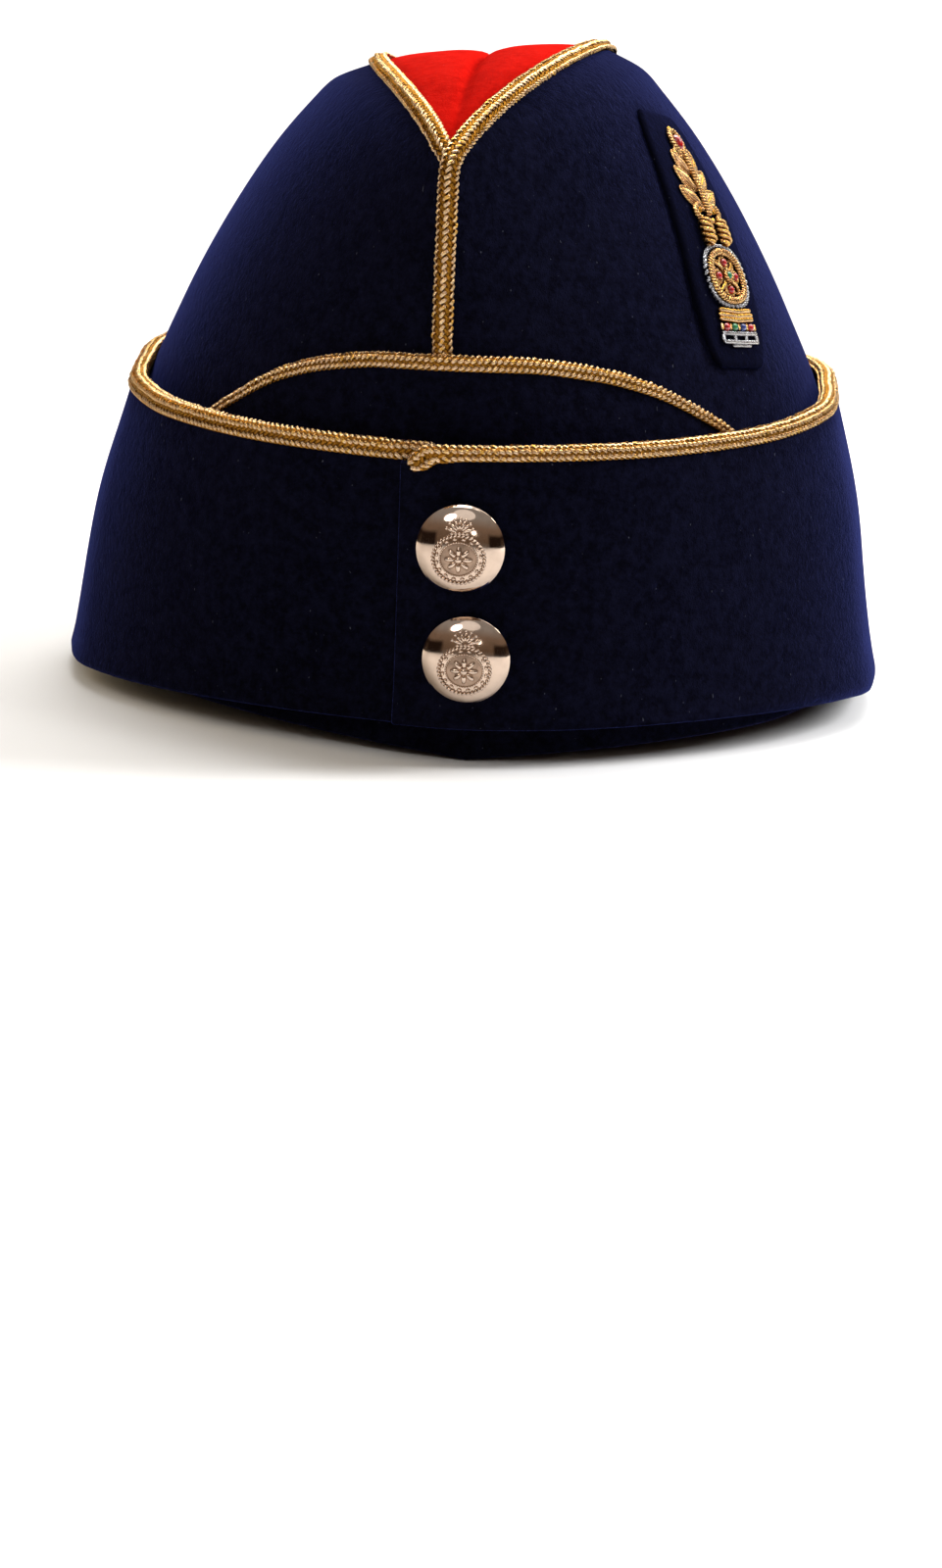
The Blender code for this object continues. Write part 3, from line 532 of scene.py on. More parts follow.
class Pile:
    """Closed tubes gathered into one mesh. Their UVs hold a running length and a painted shade, low where a
    thread lies in a hollow.
    """

    def __init__(self):
        self.points, self.faces, self.uvs, self.parts, self.count = [], [], [], [], 0

    def add(self, rings, run=0.0, shade_and_mottle=1.0, part=0):
        """Adds a closed tube from rings of points.

        run gives each ring's place along it, in turns of its thread. The next argument is painted shade, from
        0 in the hollows to 1 where the thread stands proud. part is the number of its material.
        """
        rings = np.asarray(rings)
        stations, rows = rings.shape[:2]
        run = np.broadcast_to(np.reshape(run, (-1, 1)), (stations, rows))
        shade_and_mottle = np.broadcast_to(shade_and_mottle, (stations, rows))
        faces = grid_faces(stations, rows, self.count, around=True).tolist()
        faces.append([self.count + i for i in reversed(range(rows))])
        faces.append([self.count + (stations - 1) * rows + i for i in range(rows)])
        self.points.append(rings.reshape(-1, 3))
        self.uvs.append(np.stack((run, shade_and_mottle), -1).reshape(-1, 2))
        self.faces += faces
        self.parts += [part] * len(faces)
        self.count += stations * rows

    def make(self, name, *materials):
        mesh = bpy.data.meshes.new(name)
        mesh.from_pydata(np.concatenate(self.points).tolist(), [], self.faces)
        for material in materials:
            mesh.materials.append(material)
        mesh.polygons.foreach_set("material_index", np.array(self.parts, np.int32))
        corner = np.empty(len(mesh.loops), int)
        mesh.loops.foreach_get("vertex_index", corner)
        layer = mesh.uv_layers.new(name="strand")
        layer.data.foreach_set("uv", np.concatenate(self.uvs)[corner].reshape(-1).astype(np.float32))
        outward(mesh)
        smooth_shading(mesh, 60.0)
        return new_object(name, mesh)


# Braid


def strand_path(places, normals, run, thread, strand, strands, chance):
    """One strand's middle line, the way up from the cloth along it, and its painted shade, a little uneven at
    random.
    """
    stations, rows = places.shape[:2]
    turn = run / (strands * thread.pitch) + strand / strands
    crossing = turn * strands
    uneven, aside = (
        np.interp(crossing, np.arange(len(knots)), knots)
        for knots in chance.uniform(-1.0, 1.0, (2, int(crossing[-1]) + 2))
    )
    turn = turn % 1.0
    out_going = turn < 0.5
    from_edge = np.where(out_going, turn, 1 - turn) * 2 * strands
    near_edge = np.minimum(from_edge, strands - from_edge)
    ridge = np.sin(math.pi * (from_edge - 0.5) / 2)
    wave = np.clip(CROSSING_FULLNESS * ridge, -1.0, 1.0)
    over = np.where(out_going, wave, -wave) * np.clip(near_edge / EDGE_CALM, 0.0, 1.0)
    # Painted shade: darker where the strand dives under the others, on the strands running back and in the
    # grooves, times a random unevenness
    shade_and_mottle = (0.5 + 0.5 * over) * np.where(out_going, 1.0, RETURN_SHADE)
    shade_and_mottle = shade_and_mottle * (1 - GROOVE_SHADE * (1 - ridge)) * (1 - UNEVEN_TONE * (1 - uneven))
    over = over * (1 + UNEVEN_RISE * uneven)
    rounded = np.where(near_edge < EDGE_TURN, (near_edge**2 + EDGE_TURN**2) / (2 * EDGE_TURN), near_edge)
    rounded = rounded + UNEVEN_PLACE * aside * np.clip(near_edge - EDGE_TURN, 0.0, 1.0)
    at = np.where(from_edge < strands / 2, rounded, strands - rounded) / strands * (rows - 1)
    station, cell = np.arange(stations), np.clip(at.astype(int), 0, rows - 2)
    share = (at - cell)[:, None]
    place = between(places[station, cell], places[station, cell + 1], share)
    normal = unit(between(normals[station, cell], normals[station, cell + 1], share))
    return place + normal * (over * thread.lift + ridge * thread.ridges)[:, None], normal, shade_and_mottle


def strand_rings(centre, normal, thread):
    """Flat rings round a strand's middle line."""
    ahead = unit(np.gradient(centre, axis=0))
    beside = unit(np.cross(ahead, normal))
    above = np.cross(beside, ahead)
    wide = beside[:, None] * (thread.strand_width / 2 * np.cos(STRAND_CORNERS))[:, None]
    high = above[:, None] * (thread.strand_height / 2 * np.sin(STRAND_CORNERS))[:, None]
    return centre[:, None] + wide + high


def plait(name, places, strands, thread, materials, lengths=1):
    """Flat plaited braid over a plain core: its strands cross over two and under two from edge to edge.

    places is a grid of points on its outer face, station by station and then from one edge of the braid to
    the other. The braid is cut into lengths, so that no piece of it is too heavy.
    """
    places = np.asarray(places)
    stations, rows = places.shape[:2]
    middle = places[:, rows // 2]
    run = length_along(middle)
    normals = unit(np.cross(np.gradient(places, axis=0), np.gradient(places, axis=1)))
    proud = middle - (places[:, 0] + places[:, -1]) / 2
    normals = normals * np.sign((normals[:, rows // 2] * proud).sum())
    chance = np.random.default_rng(rows * stations)
    tubes = []
    for strand in range(strands):
        centre, normal, shade_and_mottle = strand_path(places, normals, run, thread, strand, strands, chance)
        tubes.append((strand_rings(centre, normal, thread), shade_and_mottle[:, None]))
    # The core is a sheet under the strands, coloured as painted shadow between them
    top, foot = (places - normals * (share * thread.strand_height) for share in (CORE_TOP, CORE_FOOT))
    core = np.concatenate((top, foot[:, ::-1]), 1)
    pieces = []
    cuts = np.linspace(0, stations - 1, lengths + 1).astype(int)
    for i, (first, last) in enumerate(zip(cuts, cuts[1:])):
        pile, cut = Pile(), slice(first, last + 1)
        for tube, shade_and_mottle in tubes:
            pile.add(tube[cut], run[cut] / thread.pitch, shade_and_mottle[cut])
        keep = np.unique(np.append(np.arange(first, last, CORE_EVERY), last))
        pile.add(core[keep], part=1)
        pieces.append(pile.make(f"{name}_{i + 1}" if lengths > 1 else name, *materials))
    return pieces


# Materials


class Nodes:
    """A node tree that is built one call at a time."""

    def __init__(self, tree):
        self.tree = tree
        tree.nodes.clear()

    def node(self, kind, **settings):
        made = self.tree.nodes.new(kind)
        for key, value in settings.items():
            setattr(made, key, value)
        return made

    def link(self, source, target):
        self.tree.links.new(source, target)

    def ramp(self, source, *stops):
        made = self.node("ShaderNodeValToRGB")
        elements = made.color_ramp.elements
        for i, (position, colour) in enumerate(stops):
            stop = elements[i] if i < 2 else elements.new(position)
            stop.position, stop.color = position, (*colour, 1.0)
        self.link(source, made.inputs["Fac"])
        return made.outputs["Color"]

    def mix(self, factor, first, second):
        made = self.node("ShaderNodeMix", data_type="RGBA", blend_type="MIX")
        for socket, value in ((made.inputs[0], factor), (made.inputs[6], first), (made.inputs[7], second)):
            if isinstance(value, tuple):
                socket.default_value = (*value, 1.0)
            else:
                self.link(value, socket)
        return made.outputs[2]


class Shader(Nodes):
    """A Principled material whose inputs are set, or fed by nodes."""

    def __init__(self, name, **values):
        self.material = bpy.data.materials.get(name) or bpy.data.materials.new(name)
        self.material.use_nodes = True
        super().__init__(self.material.node_tree)
        out, self.surface = self.node("ShaderNodeOutputMaterial"), self.node("ShaderNodeBsdfPrincipled")
        self.link(self.surface.outputs[0], out.inputs["Surface"])
        for key, value in values.items():
            socket = self.surface.inputs[key.replace("_", " ")]
            socket.default_value = (*value, 1.0) if isinstance(value, tuple) else value
        self.place = self.node("ShaderNodeTexCoord").outputs["Object"]

    def noise(self, scale, detail=2.0, roughness=0.5, stretch=None):
        made = self.node("ShaderNodeTexNoise")
        for name, value in (("Scale", scale), ("Detail", detail), ("Roughness", roughness)):
            made.inputs[name].default_value = value
        source = self.place
        if stretch:
            mapping = self.node("ShaderNodeMapping")
            mapping.inputs["Scale"].default_value = stretch
            self.link(source, mapping.inputs["Vector"])
            source = mapping.outputs[0]
        self.link(source, made.inputs["Vector"])
        return made.outputs["Fac"]

    def spread(self, source, low, high, to_low=0.0, to_high=1.0):
        made = self.node("ShaderNodeMapRange")
        for i, value in enumerate((low, high, to_low, to_high), 1):
            made.inputs[i].default_value = value
        self.link(source, made.inputs[0])
        return made.outputs[0]

    def bump(self, source, distance, strength, under=None):
        made = self.node("ShaderNodeBump")
        made.inputs["Distance"].default_value = distance
        made.inputs["Strength"].default_value = strength
        self.link(source, made.inputs["Height"])
        if under:
            self.link(under, made.inputs["Normal"])
        return made.outputs["Normal"]

    def feed(self, **sources):
        for key, source in sources.items():
            self.link(source, self.surface.inputs[key.replace("_", " ")])
        return self.material


def darker(colour, share):
    return tuple(c * share for c in colour)


def napped_cloth(name, colour, worn, sheen, nap, mottle=0.55):
    """Milled wool or felt: a soft even nap with faint cloudiness, pilling and a little lint.

    sheen is its weight and tint, nap the scale of the tufts and mottle how far they show.
    """
    made = Shader(
        name,
        Roughness=0.92,
        Specular_IOR_Level=0.0,
        Sheen_Weight=sheen[0],
        Sheen_Roughness=0.30,
        Sheen_Tint=sheen[1],
    )
    cloud = made.noise(38.0, 3.0, 0.55)
    blotch = made.noise(nap * 0.42, 4.0, 0.62)
    tuft = made.noise(nap, 3.0, 0.62)
    fleck = made.noise(nap * 3.1, 2.0, 0.6)
    base = made.mix(made.spread(cloud, 0.35, 0.68), darker(colour, 0.72), colour)
    base = made.mix(made.spread(blotch, 0.40, 0.66, 0.0, mottle), base, worn)
    base = made.mix(made.spread(tuft, 0.45, 0.72, 0.0, mottle), base, worn)
    lint = made.noise(1900.0, 0.0, 0.5, stretch=(1.0, 1.0, 0.5))
    base = made.mix(made.spread(lint, 0.865, 0.885, 0.0, 0.22), base, (0.16, 0.17, 0.22))
    relief = made.bump(blotch, 0.0006, 0.6 * mottle)
    relief = made.bump(tuft, 0.0004, 0.45, relief)
    relief = made.bump(fleck, 0.00022, 0.6, relief)
    return made.feed(Base_Color=base, Normal=relief)


def wound_thread(name, bright, dull, deep, turns_in_unit=5.0, turn_depth=0.00003):
    """Wire wound over a strand: fine turns across it, painted paler where it is proud and darker as shade in
    the hollows.
    """
    made = Shader(name, Metallic=1.0, Roughness=0.27, Specular_Tint=(1.0, 0.82, 0.55))
    strand = made.node("ShaderNodeUVMap", uv_map="strand").outputs["UV"]
    turns = made.node("ShaderNodeTexWave", wave_type="BANDS", bands_direction="X")
    made.link(strand, turns.inputs["Vector"])
    for key, value in (("Scale", turns_in_unit), ("Distortion", 1.2), ("Detail", 1.0)):
        turns.inputs[key].default_value = value
    parts = made.node("ShaderNodeSeparateXYZ")
    made.link(strand, parts.inputs[0])
    glint = made.noise(2300.0, 1.0, 0.5)
    worn = made.mix(made.spread(made.noise(420.0, 2.0, 0.6), 0.40, 0.68, 0.0, 0.5), bright, dull)
    # Painted shade: darker where the glint relief below dips
    worn = made.mix(made.spread(glint, 0.42, 0.60, 0.65, 0.0), worn, dull)
    # Painted light from the strand UV's shade: deep, near black, at the bottom of the hollows, dull part way
    # up, paler towards white where proud
    base = made.ramp(parts.outputs["Y"], (0.10, deep), (0.55, dull), (0.92, WHITE))
    base = made.mix(made.spread(parts.outputs["Y"], 0.50, 0.95), base, worn)
    relief = made.bump(glint, 0.00032, 0.6)
    relief = made.bump(turns.outputs["Fac"], turn_depth, 0.8, relief)
    return made.feed(Base_Color=base, Normal=relief)


def shadow_core_material(braid):
    # Painted shadow: the core between the strands is near black, with a little random tarnish
    made = Shader("braid_shadow_core", Metallic=1.0, Roughness=0.55)
    return made.feed(Base_Color=made.mix(made.noise(700.0), tuple(braid.core), tuple(braid.tarnish)))


def stone(name, colour):
    """A small glass stone with a dark heart."""
    made = Shader(name, Roughness=0.12, Coat_Weight=0.6, Coat_Roughness=0.05)
    heart = made.spread(made.noise(900.0), 0.3, 0.7)
    return made.feed(Base_Color=made.mix(heart, darker(colour, 0.35), colour))


def polished_metal(name, colour, dullness=0.0):
    """Bright plated metal with faint handling marks; dullness adds tarnish, as in the hollows of a relief."""
    made = Shader(name, Metallic=1.0)
    marks = made.noise(260.0, 4.0, 0.6)
    tarnish = made.noise(520.0, 3.0, 0.6)
    base = made.mix(made.spread(tarnish, 0.42, 0.75), colour, darker(colour, 0.88 - dullness))
    relief = made.bump(made.noise(900.0, 1.0), 0.00002, 0.25 + dullness)
    rough = made.spread(marks, 0.35, 0.7, 0.05 + dullness, 0.12 + dullness)
    return made.feed(Base_Color=base, Roughness=rough, Normal=relief)


def wool_material(cloth):
    return bpy.data.materials.get("navy_wool_cloth") or napped_cloth(
        "navy_wool_cloth", tuple(cloth.wool), tuple(cloth.wool_worn), (0.25, tuple(cloth.wool_sheen)), 900.0
    )


# Settings


def colour_setting(name, description, default):
    return bpy.props.FloatVectorProperty(
        name=name, description=description, default=default, subtype="COLOR", size=3, min=0.0, max=1.0
    )


def length_setting(name, description, default):
    return bpy.props.FloatProperty(
        name=name, description=description, default=default, unit="LENGTH", precision=5, min=0.0
    )


class ClothSettings(bpy.types.PropertyGroup):
    """The cap's wool and felt."""

    wool: colour_setting("Wool", "Colour of the milled wool", (0.0020, 0.0019, 0.0040))
    wool_worn: colour_setting("Wool nap", "Colour of the wool's raised tufts", (0.0048, 0.0052, 0.0140))
    wool_sheen: colour_setting("Wool sheen", "Tint of the light that the nap scatters", (0.17, 0.22, 0.92))
    felt: colour_setting("Top felt", "Colour of the felt top", (0.43, 0.0045, 0.0025))
    felt_worn: colour_setting("Top felt nap", "Colour of the felt's raised tufts", (0.58, 0.011, 0.006))
    patch: colour_setting("Badge patch", "Colour of the felt under the badge", (0.0024, 0.0026, 0.0072))
    unevenness: length_setting("Unevenness", "How far the cloth wanders from its drawn shape", 0.00035)


class BraidSettings(bpy.types.PropertyGroup):
    """The plaited gilt braid."""

    gilt: colour_setting("Gilt", "Colour of the wire where it is bright", (0.85, 0.52, 0.13))
    # tarnish is random wear and also painted shade part way into the hollows; the core colour is painted
    # shadow between the strands and at the bottom of the hollows
    tarnish: colour_setting("Tarnish", "Colour of the wire where it is dull", (0.38, 0.165, 0.020))
    core: colour_setting("Core", "Colour between the strands", (0.045, 0.018, 0.003))
    pitch: length_setting("Pitch", "Distance from strand to strand along the braid's edge", 0.00135)
    strand_width: length_setting("Strand width", "Width of one flat strand", 0.00074)
    strand_height: length_setting("Strand height", "Thickness of one flat strand", 0.00056)
    lift: length_setting("Lift", "How far a strand rises and dips as it crosses the others", 0.00027)
    ridges: length_setting("Ridges", "How far the ridges along the braid stand above its grooves", 0.00018)
    step: length_setting("Step", "Distance between the sections of a strand", 0.00044)


class ButtonSettings(bpy.types.PropertyGroup):
    """The two domed buttons."""

    metal: colour_setting("Metal", "Colour of the plating", (0.58, 0.45, 0.355))
    patina: colour_setting("Patina", "Colour of the tarnished ground inside the ring", (0.36, 0.25, 0.18))
    radius: length_setting("Radius", "Half the width over the rolled edge", BUTTON_RADIUS)
    dome: length_setting("Dome", "Height of the dome above its seat", BUTTON_DOME)


class StageSettings(bpy.types.PropertyGroup):
    """The floor, the light and the camera."""

    floor: colour_setting("Floor", "Colour of the floor", (0.66, 0.66, 0.66))
    camera_angle: bpy.props.FloatProperty(
        name="Camera angle", description="How far round to the wearer's left", default=5.2
    )
    camera_pitch: bpy.props.FloatProperty(
        name="Camera pitch", description="How far the camera looks down, in degrees", default=13.0
    )
    camera_roll: bpy.props.FloatProperty(
        name="Camera roll", description="How far the camera leans, in degrees", default=2.4
    )
    camera_distance: length_setting("Camera distance", "From the cap's middle, along the floor", 0.62)
    camera_height: length_setting("Camera height", "Above the floor", 0.115)
    brightness: bpy.props.FloatProperty(name="Brightness", description="Scale of all lights", default=1.0)


# Pieces


class CAP_OT_side_panels(bpy.types.Operator):
    """Make the two wool side panels, which meet on the front and rear seams"""

    bl_idname = "cap.side_panels"
    bl_label = "Side panels"

    def execute(self, context):
        cloth = context.scene.cap_cloth
        wool = wool_material(cloth)
        swing = np.linspace(0.0, math.pi, PANEL_POINTS)[:, None]
        rise = PANEL_RISES[None, :]
        calm = np.sqrt(np.sin(swing) * np.sin(math.pi * rise))
        from_seam = np.minimum(swing, math.pi - swing) * SEAM_RADIUS
        groove = SEAM_GROOVE * np.exp(-((from_seam / SEAM_GROOVE_WIDTH) ** 2))
        for side, name in ((1, "side_left"), (-1, "side_right")):
            normal = panel_normal(side, swing, rise)
            uneven = cloth.unevenness * calm * wander(3 * swing, 5 * rise, seed=side)
            place = crown_point(side * swing, rise) + normal * (uneven - groove)[..., None]
            inner = place - normal * CROWN_CLOTH
            lean = crown_lean(swing, rise)
            inner[..., 0] = side * np.maximum(side * (inner[..., 0] - lean), GAP / 2) + lean
            panel = wall_object("panel_left" if side > 0 else "panel_right", place, inner)
            smooth_shading(panel.data)
            dress(panel, wool, "navy_wool", name)
        return {"FINISHED"}


class CAP_OT_felt_top(bpy.types.Operator):
    """Make the felt top, creased from front to rear between the ridges"""

    bl_idname = "cap.felt_top"
    bl_label = "Felt top"

    def execute(self, context):
        cloth = context.scene.cap_cloth
        felt = napped_cloth(
            "scarlet_felt", tuple(cloth.felt), tuple(cloth.felt_worn), (0.03, (1.0, 0.35, 0.3)), 780.0, 0.30
        )
        swing = np.radians(np.linspace(*TOP_SPAN, TOP_POINTS))[:, None]
        share = np.linspace(-1.0, 1.0, TOP_ACROSS)[None, :]
        place = top_point(swing, share)
        normal = top_normal(swing, share)
        soft = cloth.unevenness * (1 - share**2) * np.sin(swing) * wander(9 * swing, 4 * share, seed=3.0)
        place = place + normal * soft[..., None]
        top = wall_object("felt_top", place, place - normal * CROWN_CLOTH)
        smooth_shading(top.data)
        dress(top, felt, "scarlet_felt", "crown_top")
        return {"FINISHED"}


def folded_band(turn, foot, top, out_at, thick, corner, bulge, root_at=None):
    """Closed sections of turned-up cloth: down its outer face, round the fold and up its inner face.

    turn, foot, top and corner are arrays by station. out_at gives the inner face's place by turn and
    share of the height, and root_at where that face meets what it hangs from at the fold. corner is how
    far up the cloth curls in towards its fold, and bulge how far the fold swells.
    """
    turn, foot, top, corner = (values[:, None] for values in (turn, foot, top, corner))
    height = between(foot + thick / 2, top, BAND_SHARES[None, :])
    up = height - foot
    curl = np.clip(1 - up / corner, 0.0, 1.0)
    drawn_in = corner * (1 - np.sqrt(1 - CURL_ROUNDING * curl**2)) * CURL_REACH
    out = out_at(turn, up / (top - foot)) - drawn_in
    swell = bulge * np.exp(-((up / FOLD_BULGE_HEIGHT) ** 2))
    outer = np.stack((height, out + thick + swell), -1)
    if root_at:
        out = between(root_at(turn), out, ramp(ROOT_FROM, ROOT_TO, up))
    inner = np.stack((height, out), -1)
    middle = (outer[:, :1] + inner[:, :1]) / 2
    spin = np.linspace(0.0, math.pi, 9)[1:-1]
    half = (outer[:, :1, 1] - inner[:, :1, 1]) / 2
    roll = np.stack((middle[..., 0] - thick / 2 * np.sin(spin), middle[..., 1] - half * np.cos(spin)), -1)
    brim = (outer[:, -1:] + inner[:, -1:]) / 2 + (thick / 4, 0.0)
    return np.concatenate((outer[:, ::-1], roll[:, ::-1], inner, brim), 1)


class CAP_OT_peak(bpy.types.Operator):
    """Make the peak, a crescent of wool folded up against the front"""

    bl_idname = "cap.peak"
    bl_label = "Peak"

    def execute(self, context):
        cloth = context.scene.cap_cloth
        angle = np.linspace(-PEAK_SWING, PEAK_SWING, PEAK_POINTS) + PEAK_TURN

        def out_at(turn, share):
            return PEAK_OUT + cloth.unevenness / 4 * (1 + wander(6 * turn, 3 * share, seed=5.0))

        corner = np.full(angle.shape, PEAK_CURL)
        foot, top = peak_fold(angle), peak_top(angle)
        section = folded_band(angle, foot, top, out_at, PEAK_CLOTH, corner, PEAK_BULGE)
        peak = tube_object("folded_peak", layer_point(angle[:, None], section[..., 0], section[..., 1]))
        smooth_shading(peak.data)
        dress(peak, wool_material(cloth), "navy_wool", "peak")
        return {"FINISHED"}


def past_lap(turn, end=LAST_TURN):
    """The distance along the curtain from the end that laps over."""
    return (turn - end) * CURTAIN_RADIUS


def lap_drop(turn):
    """How far the curtain's top edge falls away towards the lapping end, where its corner is turned down."""
    left = past_lap(turn, LAST_TURN + BRAID_SHORT)
    return LAP_DROP * np.clip(1 - left / LAP_BEND, 0.0, 1.0) ** 1.8 * (left > -1) * (left < LAP_BEND)


def lap_edge(turn):
    return curtain_top(turn) - lap_drop(turn)


def curtain_uneven(turn, share, unevenness):
    from_front = 1 - np.exp(-((np.abs(turned(turn)) / 0.4) ** 2))
    calm = np.sqrt(np.sin(math.pi * np.clip(share, 0, 1)))
    return unevenness * from_front * wander(4 * turn, 3 * share, seed=7.0) * calm


class CAP_OT_curtain(bpy.types.Operator):
    """Make the curtain, one band folded up all round that laps over its own end at the front"""

    bl_idname = "cap.curtain"
    bl_label = "Curtain"

    def execute(self, context):
        cloth = context.scene.cap_cloth
        stations = np.concatenate(
            (
                np.linspace(UNDER_END, LAP_END + LAP_END_STEP, UNDER_POINTS),
                np.linspace(LAP_END - LAP_END_STEP, LAST_TURN + LAST_STEP, CURTAIN_POINTS),
                LAST_TURN + LAST_STEP * (1 - np.linspace(0.1, 1.0, LAP_POINTS)),
            )
        )
        tab = np.where(stations > LAP_END, TAB_DROP, 0.0)
        slant = LAP_SLANT * ramp(UNDER_END - 2 * math.pi, LAST_TURN, stations)
        angle = np.abs(np.degrees(turned(stations)))
        beside = ramp(30, 70, angle) * (1 - ramp(120, 165, angle))
        side_curl = np.where(turned(stations) > 0, SIDE_CURL_LEFT, SIDE_CURL_RIGHT)
        corner = between(FOLD_CURL, side_curl, beside)
        edge = np.clip((stations - LAST_TURN) / LAP_THIN_OVER, 0.0, 1.0)
        edge = between(LAP_THIN_SHARE, 1.0, np.sqrt(1 - (1 - edge) ** 2))

        def out_at(turn, share):
            return curtain_out(turn, share) + curtain_uneven(turn, share, cloth.unevenness)

        def root_at(turn):
            return curtain_out(turn, 0.0, 0.0)

        foot, top = curtain_fold(stations), lap_edge(stations) - tab
        section = folded_band(
            stations, foot, top, out_at, CURTAIN_CLOTH, corner, CURTAIN_BULGE, root_at
        )
        share = (section[..., 0] - foot[:, None]) / (top - foot)[:, None]
        turn = stations[:, None] + slant[:, None] * (1 - share)
        shift = curtain_out(turn, share) - curtain_out(stations[:, None], share)
        inner = out_at(stations[:, None], share)
        out = inner + (section[..., 1] - inner) * edge[:, None] + shift
        curtain = tube_object("turned_up_curtain", layer_point(turn, section[..., 0], out))
        smooth_shading(curtain.data)
        dress(curtain, wool_material(cloth), "navy_wool", "curtain")
        return {"FINISHED"}


def stations_between(start, end, place_at, step):
    """Places along a run, a step of length apart. place_at gives points for an array of places."""
    rough = np.linspace(start, end, 800)
    run = length_along(place_at(rough))
    count = max(2, round(run[-1] / step))
    return np.interp(np.linspace(0.0, run[-1], count + 1), run, rough)


def over_edge(outside, inside, cloth, rows):
    """The outer face of braid folded over cloth's edge: distances down from the edge and off the middle."""
    half = cloth / 2 + EDGE_BRAID - STRAND_STAND
    round_end = outside + half * math.pi
    run = np.linspace(0.0, round_end + inside, rows)
    spin = (run - outside) / half
    before, after = run < outside, run >= round_end
    brim = -BRIM_FLATNESS * half * np.sin(spin)
    down = np.where(before, outside - run, np.where(after, run - round_end, brim))
    off = np.where(before, half, np.where(after, -half, half * np.cos(spin)))
    return down, off


def eased(values, reach=12):
    """Points or ways along a line, each averaged with its neighbours."""
    kernel = np.hanning(2 * reach + 1)
    kernel /= kernel.sum()
    padded = np.pad(values, ((reach, reach), (0, 0)), mode="edge")
    return np.stack([np.convolve(padded[:, i], kernel, mode="valid") for i in range(3)], -1)


